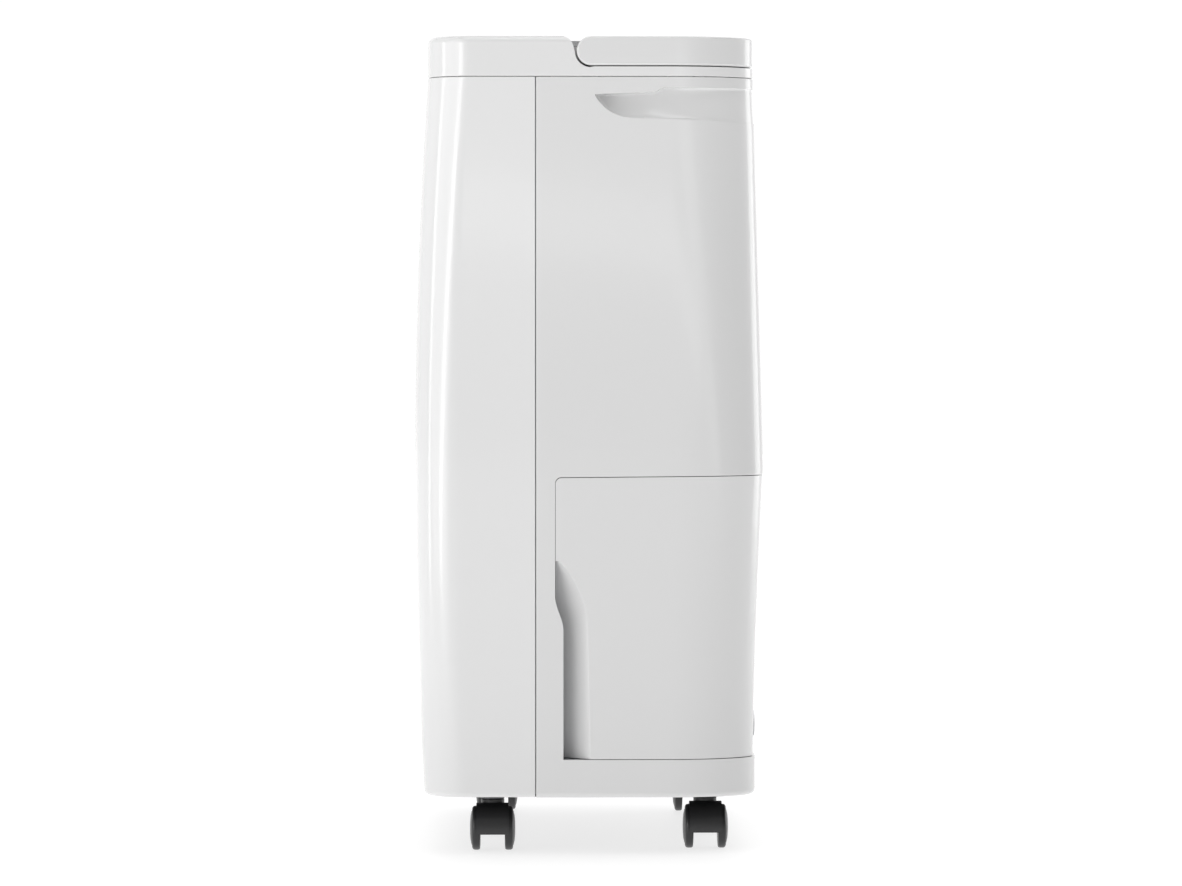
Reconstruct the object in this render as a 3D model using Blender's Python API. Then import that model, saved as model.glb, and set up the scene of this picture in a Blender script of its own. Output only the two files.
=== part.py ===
"""Upright compressor dehumidifier on four twin-wheel casters.

Millimetres throughout, turned into metres where a mesh is made. The origin is on the floor under the middle of
the cabinet: +Z up, the smooth front faces -Y, the tank slides out towards +Y, and X runs across the width.
"""

import math

import bmesh
import bpy
from mathutils import Matrix, Vector

MM = 0.001

# Cabinet
HALF_WIDTH = 180.0
WALL = 2.5
GAP = 0.3
CABINET_BOTTOM = 41.5
CABINET_TOP = 561.0
COLLAR_TOP = 590.0
SEAM_Y = -39.0
FRONT_CORNER = (30.0, 32.0)
REAR_CORNER = (35.0, 63.0)

# Tank and its bay
TANK_FRONT = -24.7
TANK_BOTTOM = 69.5
TANK_TOP = 272.4
BAY_FRONT = -25.3
GRIP_EDGE_RADIUS = 72.0
GRIP_EDGE_CENTRE = (-73.4, 162.0)
GRIP_DEPTH = 15.0

# Carry handle
PIVOT_Y = 1.0
HANDLE_BOTTOM = 568.7
HANDLE_TOP = 589.6
PIVOT_Z = (HANDLE_BOTTOM + HANDLE_TOP) / 2
HANDLE_END = (HANDLE_TOP - HANDLE_BOTTOM) / 2
ARM_INNER = 160.0
CHANNEL_FLOOR = 567.9
CHANNEL_INNER = 159.3
POCKET_RADIUS = 11.9
PIN_RADIUS = 3.2

# Deck
DECK_TOP = 587.6
DECK_BOTTOM = 583.6
OUTLET_HALF = 119.0
OUTLET_FRONT = 13.0
OUTLET_REAR = 77.0
HINGE_Y = 74.0
HINGE_Z = DECK_TOP - 2.6

# Fan
FAN_Z = 410.0
FAN_RADIUS = 75.0

# Casters: swivel axis (x, y) of each, and the sense of the trail along X
CASTERS = {
    "front_right": (133.5, -70.5, 1),
    "front_left": (-133.5, -70.5, -1),
    "rear_right": (121.5, 85.0, 1),
    "rear_left": (-121.5, 85.0, -1),
}
WHEEL_RADIUS = 16.0
TRAIL = 8.0

for old in list(bpy.data.objects):
    bpy.data.objects.remove(old, do_unlink=True)

materials = {}


def paint(name, colour, roughness, metallic=0.0):
    """One Principled material per name."""
    if name not in materials:
        material = bpy.data.materials.new(name)
        material.use_nodes = True
        shader = material.node_tree.nodes["Principled BSDF"]
        shader.inputs["Base Color"].default_value = (*colour, 1.0)
        shader.inputs["Roughness"].default_value = roughness
        shader.inputs["Metallic"].default_value = metallic
        materials[name] = material
    return materials[name]


WHITE = paint("white_gloss_plastic", (0.86, 0.87, 0.88), 0.18)
GREY = paint("grey_plastic", (0.32, 0.33, 0.35), 0.5)
BLACK = paint("black_plastic", (0.03, 0.03, 0.032), 0.42)
SMOKE = paint("smoked_lens", (0.02, 0.022, 0.025), 0.08)
STEEL = paint("steel", (0.62, 0.63, 0.65), 0.32, 1.0)
COPPER = paint("copper", (0.75, 0.42, 0.3), 0.3, 1.0)
ALUMINIUM = paint("aluminium_fins", (0.8, 0.81, 0.82), 0.35, 1.0)
ENAMEL = paint("black_enamel", (0.025, 0.025, 0.028), 0.3)
BOARD = paint("circuit_board", (0.03, 0.18, 0.08), 0.5)
MESH_CLOTH = paint("filter_net", (0.2, 0.21, 0.22), 0.8)
RUBBER = paint("rubber", (0.03, 0.03, 0.03), 0.8)
FOAM = paint("float_foam", (0.85, 0.55, 0.12), 0.7)
GALVANISED = paint("galvanised_sheet", (0.7, 0.72, 0.74), 0.4, 1.0)


def solid(name, bm):
    """Object from a bmesh in millimetres, with its faces turned out."""
    bmesh.ops.recalc_face_normals(bm, faces=bm.faces)
    bmesh.ops.scale(bm, vec=(MM, MM, MM), verts=bm.verts)
    mesh = bpy.data.meshes.new(name)
    bm.to_mesh(mesh)
    bm.free()
    obj = bpy.data.objects.new(name, mesh)
    bpy.context.scene.collection.objects.link(obj)
    return obj


def skin(name, loops):
    """Closed body through loops of the same number of points, capped at both ends."""
    bm = bmesh.new()
    rings = [[bm.verts.new(point) for point in loop] for loop in loops]
    count = len(rings[0])
    for lower, upper in zip(rings, rings[1:]):
        for i in range(count):
            j = (i + 1) % count
            bm.faces.new((lower[i], lower[j], upper[j], upper[i]))
    bm.faces.new(list(reversed(rings[0])))
    bm.faces.new(rings[-1])
    return solid(name, bm)


def prism(name, axis, outline, low, high):
    """Outline extruded along an axis: (y, z) for X, (x, z) for Y, (x, y) for Z."""

    def place(point, along):
        u, v = point
        return {"X": (along, u, v), "Y": (u, along, v), "Z": (u, v, along)}[axis]

    return skin(name, [[place(p, low) for p in outline], [place(p, high) for p in outline]])


def boxes(name, *corners):
    """One object of separate boxes, each given as x0, x1, y0, y1, z0, z1."""
    bm = bmesh.new()
    for x0, x1, y0, y1, z0, z1 in corners:
        centre = Vector(((x0 + x1) / 2, (y0 + y1) / 2, (z0 + z1) / 2))
        size = Vector((x1 - x0, y1 - y0, z1 - z0))
        bmesh.ops.create_cube(bm, size=1.0, matrix=Matrix.Translation(centre) @ Matrix.Diagonal((*size, 1.0)))
    return solid(name, bm)


def turned(name, profile, centre, axis="Z", segments=20):
    """Profile of (radius, along) turned about an axis through the centre. A radius of 0 closes the end."""
    turn = {"X": Matrix.Rotation(math.radians(90), 4, "Y"), "Y": Matrix.Rotation(math.radians(-90), 4, "X"),
            "Z": Matrix.Identity(4)}[axis]
    place = Matrix.Translation(Vector(centre)) @ turn
    bm = bmesh.new()
    rings = []
    for radius, along in profile:
        if radius < 1e-6:
            rings.append([bm.verts.new(place @ Vector((0, 0, along)))])
            continue
        ring = []
        for i in range(segments):
            a = 2 * math.pi * i / segments
            ring.append(bm.verts.new(place @ Vector((radius * math.cos(a), radius * math.sin(a), along))))
        rings.append(ring)
    for lower, upper in zip(rings, rings[1:]):
        for i in range(segments):
            j = (i + 1) % segments
            corners = [lower[i % len(lower)], lower[j % len(lower)], upper[j % len(upper)], upper[i % len(upper)]]
            bm.faces.new(list(dict.fromkeys(corners)))
    for ring in (rings[0], rings[-1]):
        if len(ring) > 1:
            bm.faces.new(ring)
    return solid(name, bm)


def rod(name, centre, radius, low, high, axis="Z", segments=16):
    return turned(name, [(radius, low), (radius, high)], centre, axis, segments)


def tube(name, points, radius, bend, material, sides=2):
    """Round pipe along a path of corners, each turned with the bend radius."""
    path = [Vector(points[0])]
    for before, corner, after in zip(points, points[1:], points[2:]):
        corner = Vector(corner)
        into = (Vector(before) - corner).normalized()
        out = (Vector(after) - corner).normalized()
        for step in range(5):
            t = step / 4
            start, end = corner + into * bend, corner + out * bend
            path.append(start * (1 - t) ** 2 + corner * 2 * t * (1 - t) + end * t**2)
    path.append(Vector(points[-1]))
    curve = bpy.data.curves.new(name, "CURVE")
    curve.dimensions = "3D"
    curve.bevel_depth = radius * MM
    curve.bevel_resolution = sides
    curve.use_fill_caps = True
    spline = curve.splines.new("POLY")
    spline.points.add(len(path) - 1)
    for target, point in zip(spline.points, path):
        target.co = (*(point * MM), 1.0)
    obj = bpy.data.objects.new(name, curve)
    bpy.context.scene.collection.objects.link(obj)
    curve.materials.append(material)
    return obj


def combine(target, operation, *tools):
    """Applies each tool to the target with the exact solver, and removes the tools."""
    for tool in tools:
        modifier = target.modifiers.new(operation.lower(), "BOOLEAN")
        modifier.operation = operation
        modifier.solver = "EXACT"
        modifier.object = tool
        bpy.context.view_layer.update()
        made = bpy.data.meshes.new_from_object(target.evaluated_get(bpy.context.evaluated_depsgraph_get()))
        target.modifiers.clear()
        target.data = made
    for tool in tools:
        bpy.data.objects.remove(tool, do_unlink=True)
    bm = bmesh.new()
    bm.from_mesh(target.data)
    bmesh.ops.remove_doubles(bm, verts=bm.verts, dist=0.01 * MM)
    bmesh.ops.dissolve_degenerate(bm, edges=bm.edges, dist=0.01 * MM)
    bmesh.ops.dissolve_limit(bm, angle_limit=math.radians(0.3), verts=bm.verts, edges=bm.edges)
    bm.to_mesh(target.data)
    bm.free()
    return target


def cut(target, *tools):
    return combine(target, "DIFFERENCE", *tools)


def join(target, *tools):
    return combine(target, "UNION", *tools)


def keep(target, *tools):
    return combine(target, "INTERSECT", *tools)


def finish(obj, material, smooth=30.0, origin=None):
    """Material, shading and, for a moving piece, the point its joint turns or slides at."""
    mesh = obj.data
    mesh.materials.clear()
    mesh.materials.append(material)
    if origin:
        offset = Vector(origin) * MM
        mesh.transform(Matrix.Translation(-offset))
        obj.location = offset
    for polygon in mesh.polygons:
        polygon.use_smooth = smooth > 0
    if smooth > 0:
        mesh.set_sharp_from_angle(angle=math.radians(smooth))
    return obj


def mirrored(name, obj, material, smooth=30.0, origin=None):
    """Copy of a piece on the other side of the middle plane."""
    mesh = obj.data.copy()
    mesh.transform(Matrix.Diagonal((-1, 1, 1, 1)) @ Matrix.Translation(obj.location))
    mesh.flip_normals()
    copy = bpy.data.objects.new(name, mesh)
    bpy.context.scene.collection.objects.link(copy)
    return finish(copy, material, smooth, origin)


# Shape of the cabinet in plan at a height


def front_reach(z):
    return 126.6 - 1.2e-4 * (min(z, CABINET_TOP) - 277) ** 2


def rear_reach(z):
    if z >= 275:
        return 126.6 - 0.0283 * (min(z, 575) - 275)
    if z < 69.2:
        return 120.5
    return 126.3 - 0.048 * (275 - z) + 0.00006 * (275 - z) ** 2


def arc(centre, radii, start, end, steps):
    """Points of an elliptical arc, angles in degrees."""
    points = []
    for i in range(steps + 1):
        a = math.radians(start + (end - start) * i / steps)
        points.append((centre[0] + radii[0] * math.cos(a), centre[1] + radii[1] * math.sin(a)))
    return points


def front_path(z, inset=0.0, end=SEAM_Y, steps=6):
    """From the right side round the front to the left side."""
    reach = front_reach(z)
    radii = (FRONT_CORNER[0] - inset, FRONT_CORNER[1] - inset)
    x, y = HALF_WIDTH - FRONT_CORNER[0], FRONT_CORNER[1] - reach
    right = arc((x, y), radii, 0, -90, steps)
    left = arc((-x, y), radii, -90, -180, steps)
    return [(HALF_WIDTH - inset, end), *right, *left, (inset - HALF_WIDTH, end)]


def rear_path(z, inset=0.0, end=SEAM_Y, steps=8):
    """From the left side round the rear to the right side."""
    reach = rear_reach(z)
    radii = (REAR_CORNER[0] - inset, REAR_CORNER[1] - inset)
    x, y = HALF_WIDTH - REAR_CORNER[0], reach - REAR_CORNER[1]
    left = arc((-x, y), radii, 180, 90, steps)
    right = arc((x, y), radii, 90, 0, steps)
    return [(inset - HALF_WIDTH, end), *left, *right, (HALF_WIDTH - inset, end)]


def at(z, outline):
    return [(x, y, z) for x, y in outline]


def levels(low, high, count):
    return [low + (high - low) * i / (count - 1) for i in range(count)]


def plan(z, inset=0.0, steps=6):
    return front_path(z, inset, -30, steps)[1:-1] + rear_path(z, inset, -30, steps)[1:-1]


def column(name, heights, insets, steps=6):
    return skin(name, [at(z, plan(z, inset, steps)) for z, inset in zip(heights, insets)])


def rounded_rectangle(x0, x1, y0, y1, radius, steps=4):
    return (arc((x1 - radius, y1 - radius), (radius, radius), 0, 90, steps)
            + arc((x0 + radius, y1 - radius), (radius, radius), 90, 180, steps)
            + arc((x0 + radius, y0 + radius), (radius, radius), 180, 270, steps)
            + arc((x1 - radius, y0 + radius), (radius, radius), 270, 360, steps))


# Front cover: a thin wall round the front, closed by the base pan and the collar

cover_levels = [CABINET_BOTTOM + 0.2, CABINET_BOTTOM + 2.5, *levels(90, 500, 7), CABINET_TOP - 0.4]
cover_loops = []
for z in cover_levels:
    edge = 1.5 if z < CABINET_BOTTOM + 1 else 0.0
    outer = front_path(z, edge, SEAM_Y - GAP)
    inner = front_path(z, WALL, SEAM_Y - GAP)
    cover_loops.append(at(z, outer + inner[::-1]))
front_cover = skin("front_cover", cover_loops)
finish(front_cover, WHITE)


# Hand-hold scoops: one band from the right side, round the rear, to the left side

SCOOP_TOP = [(3.6, 548.0), (46.8, 549.8), (54.0, 552.7), (130.0, 552.7)]
SCOOP_LOW = [(3.6, 547.2), (8.7, 540.4), (15.9, 534.7), (27.4, 531.1), (79.0, 529.6), (120.0, 527.9)]
SCOOP_DEPTH = [(3.6, 2.0), (7.0, 9.0), (16.0, 13.0), (50.0, 12.0), (80.0, 5.5), (104.0, 1.6), (118.0, 0.9)]


def between(table, y):
    """Straight-line value of a table at y."""
    for (y0, v0), (y1, v1) in zip(table, table[1:]):
        if y <= y1:
            return v0 + (v1 - v0) * max(0.0, (y - y0) / (y1 - y0))
    return table[-1][1]


def scoop_stations():
    """Places along the band: function of the inset giving the point, and its Y."""
    reach = rear_reach(540)
    corner_y = reach - REAR_CORNER[1]
    stations = []
    for y in (3.6, 5.5, 8.7, 12.0, 15.9, 21.0, 27.4, 38.0, 46.8, 54.0):
        stations.append((lambda inset, y=y: (HALF_WIDTH - inset, y), y))
    for a in levels(8, 90, 8):
        angle = math.radians(a)

        def corner(inset, angle=angle):
            return (HALF_WIDTH - REAR_CORNER[0] + (REAR_CORNER[0] - inset) * math.cos(angle),
                    corner_y + (REAR_CORNER[1] - inset) * math.sin(angle))

        stations.append((corner, corner(0.0)[1]))
    left = [(lambda inset, right=right: (-right(inset)[0], right(inset)[1]), y) for right, y in reversed(stations)]
    return stations + left


def scoop(name, grow):
    loops = []
    for place, y in scoop_stations():
        top, low, depth = between(SCOOP_TOP, y) + grow, between(SCOOP_LOW, y) - grow, between(SCOOP_DEPTH, y) + grow
        section = [(-6.0, low), (0.0, low)]
        for v in (0.2, 0.45, 0.7, 0.9):
            section.append((depth * math.sin(math.pi / 2 * min(1.0, v / 0.85)), low + (top - low) * v))
        section += [(depth * 0.92, top), (0.0, top), (-6.0, top)]
        loops.append([(*place(inset), z) for inset, z in section])
    return skin(name, loops)


# Rear housing: upper cabinet, the strips beside the seam and the base skirt, with the tank's opening between

housing_levels = [CABINET_BOTTOM, CABINET_BOTTOM + 2.5, 69.0, 69.3, *levels(110, 275, 4), *levels(320, 520, 4),
                  CABINET_TOP - 0.4]
housing_loops = []
for z in housing_levels:
    edge = 1.5 if z < CABINET_BOTTOM + 1 else 0.0
    housing_loops.append(at(z, rear_path(z, edge, SEAM_Y + GAP)))
rear_housing = skin("rear_housing", housing_loops)
core = skin("core", [at(z, rear_path(z, WALL, SEAM_Y - 20)) for z in [30, 69.0, 69.3, *levels(110, 275, 4), *levels(320, 570, 4)]])
cut(core, scoop("pocket", 2.4))
opening = [(-19.1, 69.0), (-19.1, 162.0), (-19.9, 168.0), (-21.6, 174.0), (-23.7, 180.0), (-25.0, 187.0),
           (-25.0, 269.0), (-23.8, 271.6), (-21.0, 272.7), (200.0, 274.5), (200.0, 69.0)]
cut(rear_housing, core, scoop("scoop", 0.0), prism("tank_opening", "X", opening, -200, 200),
    boxes("grille_opening", (-125.4, 125.4, 90, 150, 289.6, 520.4)),
    rod("gland_hole", (-120, 110, 55), 6.4, 0, 20, "Y"))
finish(rear_housing, WHITE)


# Base pan, with a bore for each caster's stem

base_pan = skin("base_pan", [at(42.2, plan(42.2, WALL + 0.4)), at(47.0, plan(42.2, WALL + 0.4))])
cut(base_pan, *[rod("bore", (x, y, 40), 4.5, 0, 20, segments=12) for x, y, _ in CASTERS.values()])
finish(base_pan, BLACK)


# Tank bay: floor, front wall and ceiling in one sheet folded round the tank

bay_section = [(-28.0, 66.0), (120.0, 66.0), (120.0, 68.9), (BAY_FRONT, 68.9), (BAY_FRONT, 275.6), (120.0, 276.6),
               (120.0, 279.0), (-28.0, 278.2)]
tank_bay = prism("tank_bay", "X", bay_section, -190, 190)
keep(tank_bay, skin("bay_bounds", [at(z, rear_path(z, WALL + 0.6, -60)) for z in (60, 69.0, 69.4, *levels(110, 275, 4), 290)]))
cut(tank_bay, rod("drain_hole", (0, 84, 270), 7.0, 0, 20))
finish(tank_bay, GREY, 0)


# Water tank with a grip scoop low on each side


def grip_edge(z):
    """Y of the edge between scoop and outer face."""
    if z <= GRIP_EDGE_CENTRE[1]:
        return -1.2 + 2.0 * (GRIP_EDGE_CENTRE[1] - z) / (GRIP_EDGE_CENTRE[1] - TANK_BOTTOM)
    rise = z - GRIP_EDGE_CENTRE[1]
    return GRIP_EDGE_CENTRE[0] + math.sqrt(max(0.0, GRIP_EDGE_RADIUS**2 - rise**2))


def grip(name, grow):
    """Wedge on the right side, deepest at the tank's front edge."""
    loops = []
    for z in (60.0, 110.0, 162.0, 176.0, 188.0, 198.0, 206.0, 212.0):
        edge = grip_edge(z) + grow
        width = max(0.6, edge - TANK_FRONT + 6)
        deep = GRIP_DEPTH * width / 30 + grow
        section = [(HALF_WIDTH + 6, edge), (HALF_WIDTH, edge)]
        for t in (0.25, 0.5, 0.75, 1.0):
            section.append((HALF_WIDTH - deep * math.sin(math.pi / 2 * t), edge - width * t))
        section.append((HALF_WIDTH + 6, edge - width))
        loops.append([(x, y, z) for x, y in section])
    return skin(name, loops)


def other_side(obj):
    obj.data.transform(Matrix.Diagonal((-1, 1, 1, 1)))
    obj.data.flip_normals()
    return obj


tank_side = [(TANK_FRONT, 50.0), *arc((TANK_FRONT + 4.0, TANK_TOP - 4.4), (4.0, 4.4), 180, 95, 4), (200.0, TANK_TOP + 1.8),
             (200.0, 50.0)]
water_tank = skin("water_tank", [at(z, rear_path(z, 0.0, TANK_FRONT - 1)) for z in (TANK_BOTTOM, *levels(110, 275, 4))])
cavity = skin("cavity", [at(z, rear_path(z, 2.6, TANK_FRONT + 2.6)) for z in (72.5, *levels(110, 275, 4), 290)])
cut(cavity, grip("grip_wall", 2.4), other_side(grip("grip_wall", 2.4)))
cut(water_tank, cavity, grip("grip", 0.0), other_side(grip("grip", 0.0)), rod("drain_bore", (80, 108, 88), 6.3, 0, 30, "Y"))
keep(water_tank, prism("side", "X", tank_side, -200, 200))
finish(water_tank, WHITE)

tank_lid = skin("tank_lid", [at(262.5, rear_path(262, 3.1, TANK_FRONT + 3.1, 5)),
                             at(265.5, rear_path(262, 3.1, TANK_FRONT + 3.1, 5))])
ears = boxes("ears", (98, 101, 4, 16, 250, 263), (139, 142, 4, 16, 250, 263))
join(tank_lid, ears)
cut(tank_lid, rod("inlet", (0, 84, 255), 22, 0, 20), rod("pin_bore", (90, 10, 254), 2.3, 0, 60, "X", 12))
finish(tank_lid, GREY, 20)

tank_float = boxes("tank_float", (104, 136, -4, 24, 214, 240))
join(tank_float, boxes("stalk", (116, 124, 7.5, 12.5, 238, 256)), rod("pin", (97, 10, 254), 2.0, 0, 46, "X", 12))
finish(tank_float, FOAM, 20, (120, 10, 254))

drain_cap = turned("drain_cap", [(0, 0), (6.0, 0), (6.0, 4.2), (11.0, 4.2), (11.0, 6.2), (9.6, 7.4), (0, 7.4)],
                   (80, 115.6, 88), "Y")
finish(drain_cap, GREY)

level_switch = boxes("level_switch", (112, 140, -40, -28.3, 236, 258))
join(level_switch, boxes("lug", (106, 146, -31, -28.3, 240, 254)))
finish(level_switch, BLACK, 0)


# Top collar: rim over the front half, ledge under the carry handle behind it

collar = column("top_collar", (CABINET_TOP, 585.0, 588.3, 589.6, COLLAR_TOP), (0.0, 0.0, 1.4, 3.2, 5.4))
channel_section = ([(-21.5, 600.0), *arc((-21.5, 580.0), (10.0, 10.0), 90, 0, 5)]
                   + arc((PIVOT_Y, PIVOT_Z), (POCKET_RADIUS, POCKET_RADIUS), 180, 262, 6)
                   + [(4.0, CHANNEL_FLOOR), (140.0, CHANNEL_FLOOR), (140.0, 600.0)])
channel = prism("channel", "X", channel_section, -190, 190)
cut(channel, prism("island", "Z", rounded_rectangle(-CHANNEL_INNER, CHANNEL_INNER, -80, 97, 11.3), 550, 610))
under = skin("under", [at(z, plan(CABINET_TOP, WALL)) for z in (550, 565.4)])
well = prism("well", "Z", rounded_rectangle(-156.6, 156.6, -112, 94.4, 9.0), 555, 600)
rim = skin("rim", [at(z, [(x, min(y, -27.0)) for x, y in plan(CABINET_TOP, 7.0)]) for z in (555, 600)])
shoulder = skin("shoulder", [at(z, [(x, min(y, -27.0)) for x, y in plan(CABINET_TOP, WALL)]) for z in (555, 583.0)])
lowered = boxes("lowered", (-159.6, 159.6, -27.0, 99.0, DECK_BOTTOM - GAP, 600))
cut(collar, channel, under, well, rim, shoulder, lowered,
    rod("pin_bores", (-170, PIVOT_Y, PIVOT_Z), PIN_RADIUS + GAP, 0, 340, "X", 12),
    boxes("lens_slot", (-12.2, 12.2, -118, -105, 577.8, 588.2)))
finish(collar, WHITE)

# Carry handle: a U that lies in the collar's channel and swings up about its front ends


def handle_outline(z, inset):
    outer = rear_path(575, inset, -40, 8)
    radius = 12.0
    inner = ([(ARM_INNER + inset, -40.0), *arc((ARM_INNER - radius, 98.0 - radius), (radius + inset, radius + inset), 0, 90, 4)]
             + [*arc((radius - ARM_INNER, 98.0 - radius), (radius + inset, radius + inset), 90, 180, 4), (-ARM_INNER - inset, -40.0)])
    return at(z, outer + inner)


carry_handle = skin("carry_handle", [handle_outline(HANDLE_BOTTOM, 1.0), handle_outline(HANDLE_BOTTOM + 1.0, 0.0),
                                     handle_outline(HANDLE_TOP - 1.8, 0.0), handle_outline(HANDLE_TOP - 0.6, 0.6),
                                     handle_outline(HANDLE_TOP, 1.8)])


def end_section(x, inset):
    r = HANDLE_END - inset
    outline = arc((PIVOT_Y, PIVOT_Z), (r, r), 270, 90, 12) + [(130.0, PIVOT_Z + r), (130.0, PIVOT_Z - r)]
    return [(x, y, z) for y, z in outline]


keep(carry_handle, skin("ends", [end_section(-HALF_WIDTH, 1.2), end_section(1.2 - HALF_WIDTH, 0.0),
                                 end_section(HALF_WIDTH - 1.2, 0.0), end_section(HALF_WIDTH, 1.2)]))
cut(carry_handle, rod("pivot_bores", (-173, PIVOT_Y, PIVOT_Z), PIN_RADIUS + GAP, 0, 346, "X", 12))
finish(carry_handle, WHITE, 30, (0, PIVOT_Y, PIVOT_Z))

pin = turned("handle_pin_right", [(0, 0), (4.3, 0), (4.3, 2.5), (PIN_RADIUS, 2.5), (PIN_RADIUS, 18.5), (0, 18.5)],
             (153.8, PIVOT_Y, PIVOT_Z), "X", 12)
finish(pin, STEEL)
mirrored("handle_pin_left", pin, STEEL)


# Deck, outlet and louver

deck_front = [(x, y) for x, y in front_path(CABINET_TOP, 7.3, -27.3)]
deck_outline = (deck_front + [(-159.0, -27.3)] + arc((-148.0, 85.6), (11.0, 11.0), 180, 90, 4)
                + arc((148.0, 85.6), (11.0, 11.0), 90, 0, 4) + [(159.0, -27.3)])
top_deck = prism("top_deck", "Z", deck_outline, DECK_BOTTOM, DECK_TOP)
panel_recess = prism("recess", "Z", rounded_rectangle(-112.3, 112.3, -102.3, -22.7, 8.0), 580, 600)
cut(top_deck, panel_recess, boxes("outlet", (-OUTLET_HALF, OUTLET_HALF, OUTLET_FRONT, OUTLET_REAR, 570, 600)))
finish(top_deck, GREY)

BUTTONS = {"power": -84.0, "humidity": -56.0, "timer": -28.0, "fan_speed": 56.0, "swing": 84.0}
BUTTON_Y = -62.5
BUTTON_TRAVEL = 1.2
control_panel = prism("control_panel", "Z", rounded_rectangle(-112, 112, -102, -23, 7.7), 583.6, 588.0)
cut(control_panel, *[rod("hole", (x, BUTTON_Y, 575), 8.4, 0, 30, segments=14) for x in BUTTONS.values()],
    boxes("window", (-14.3, 42.3, -78.3, -46.7, 575, 600)))
finish(control_panel, SMOKE)
for label, x in BUTTONS.items():
    button = turned(f"button_{label}", [(0, 0), (9.6, 0), (9.6, 1.4), (8.0, 1.4), (8.0, 6.8), (7.0, 7.6), (0, 7.8)],
                    (x, BUTTON_Y, 580.9), "Z", 14)
    finish(button, GREY, 30, (x, BUTTON_Y, 580.9))
finish(boxes("display_lens", (-14, 42, -78, -47, 583.6, 587.7)), SMOKE, 0)
finish(boxes("status_lens", (-11.8, 11.8, -117.4, -113.2, 578.2, 587.8)), SMOKE, 0)
control_board = boxes("control_board", (-106, 106, -98, -28, 571.6, 573.4))
join(control_board, *[boxes("switch", (x - 3, x + 3, BUTTON_Y - 3, BUTTON_Y + 3, 573, 578.6)) for x in BUTTONS.values()],
     boxes("chips", (-10, 38, -74, -50, 573, 577), (60, 100, -94, -76, 573, 580), (-100, -70, -94, -78, 573, 582)))
finish(control_board, BOARD, 0)

flap_section = ([(14.0, HINGE_Z), (14.0, DECK_TOP - 0.8), (14.8, DECK_TOP)] + arc((HINGE_Y, HINGE_Z), (2.6, 2.6), 90, -90, 8)
                + [(HINGE_Y - 2.6, HINGE_Z)])
louver_flap = prism("louver_flap", "X", flap_section, -118.2, 118.2)
join(louver_flap, rod("stubs", (-122.5, HINGE_Y, HINGE_Z), 1.8, 0, 245, "X", 12))
finish(louver_flap, GREY, 30, (0, HINGE_Y, HINGE_Z))

outlet_grille = boxes("outlet_grille", (-126, 126, 9.5, 80.5, 569.0, 583.2))
slots = [(x, x + 52.5, y, y + 5.0, 560, 590) for x in levels(-113.0, 60.5, 4) for y in levels(17.0, 66.0, 7)]
cut(outlet_grille, boxes("above", (-118.6, 118.6, 12.8, 77.2, 575.0, 590)), boxes("slots", *slots))
finish(outlet_grille, BLACK, 0)
cut(top_deck, rod("stub_bores", (-123.5, HINGE_Y, HINGE_Z), 2.1, 0, 247, "X", 12))
finish(top_deck, GREY)

louver_motor = rod("louver_motor", (128.0, 66, 571), 12, 0, 18, "X", 16)
join(louver_motor, boxes("lugs", (127.9, 130.4, 46, 86, 568.5, 575.5)))
finish(louver_motor, STEEL)

# Intake grille over the filter, in the upper rear


def rear_slab(name, half, low, high, front_gap, thickness):
    """Plate that follows the lean of the rear face."""
    heights = levels(low, high, 6)
    outline = [(rear_reach(z) - front_gap, z) for z in heights]
    outline += [(rear_reach(z) - front_gap - thickness, z) for z in reversed(heights)]
    return prism(name, "X", outline, -half, half)


intake_grille = rear_slab("intake_grille", 125.0, 290.0, 520.0, 0.2, 3.2)
slots = [(x, x + 110, 90, 150, z, z + 8.5) for x in (-114.5, 4.5) for z in levels(298, 503.5, 15)]
cut(intake_grille, boxes("slots", *slots))
finish(intake_grille, WHITE, 0)

filter_frame = boxes("filter_frame", (-124, 124, 107.0, 112.5, 295, 518))
cut(filter_frame, boxes("panes", *[(x, x + 74, 100, 120, z, z + 100) for x in (-116, -37, 42) for z in (300, 410)]))
finish(filter_frame, GREY, 0)
finish(boxes("filter_mesh", (-122, 122, 113.0, 114.0, 297, 516)), MESH_CLOTH, 0)


# Refrigerant circuit


def coil(name, y0, y1, material):
    """Fin block: a comb of plates on a header, open between the fins."""
    outline = [(-128.0, 300.0), (128.0, 300.0), (128.0, 500.0)]
    for x in levels(122, -128, 26):
        outline += [(x, 500.0), (x, 306.0), (x - 4.0, 306.0), (x - 4.0, 500.0)][: 4 if x > -120 else 1]
    block = prism(name, "Y", outline, y0, y1)
    return finish(block, material, 0)


coil("evaporator", 86.0, 103.0, ALUMINIUM)
coil("condenser", 62.0, 79.0, ALUMINIUM)

compressor = turned("compressor", [(0, 60), (30, 60), (37, 66), (40, 76), (40, 146), (42.5, 148), (42.5, 152), (40, 154),
                                   (40, 208), (36, 222), (24, 231), (0, 234)], (-60, -72, 0), "Z", 18)
feet = prism("feet", "Z", arc((-60, -72), (43, 43), 30, 270, 2), 57.0, 61.0)
join(compressor, feet)
cut(compressor, *[rod("foot_bore", (x, y, 50), 3.4, 0, 14, segments=12)
                  for x, y in [(-60 + 34 * math.cos(math.radians(a)), -72 + 34 * math.sin(math.radians(a)))
                               for a in (30, 150, 270)]])
finish(compressor, ENAMEL)
for label, a in (("a", 30), ("b", 150), ("c", 270)):
    place = (-60 + 34 * math.cos(math.radians(a)), -72 + 34 * math.sin(math.radians(a)), 0)
    grommet = turned(f"grommet_{label}", [(0, 47.3), (8, 47.3), (8, 56.7), (3.1, 56.7), (3.1, 60.6), (0, 60.6)], place,
                     segments=14)
    finish(grommet, RUBBER)

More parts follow.
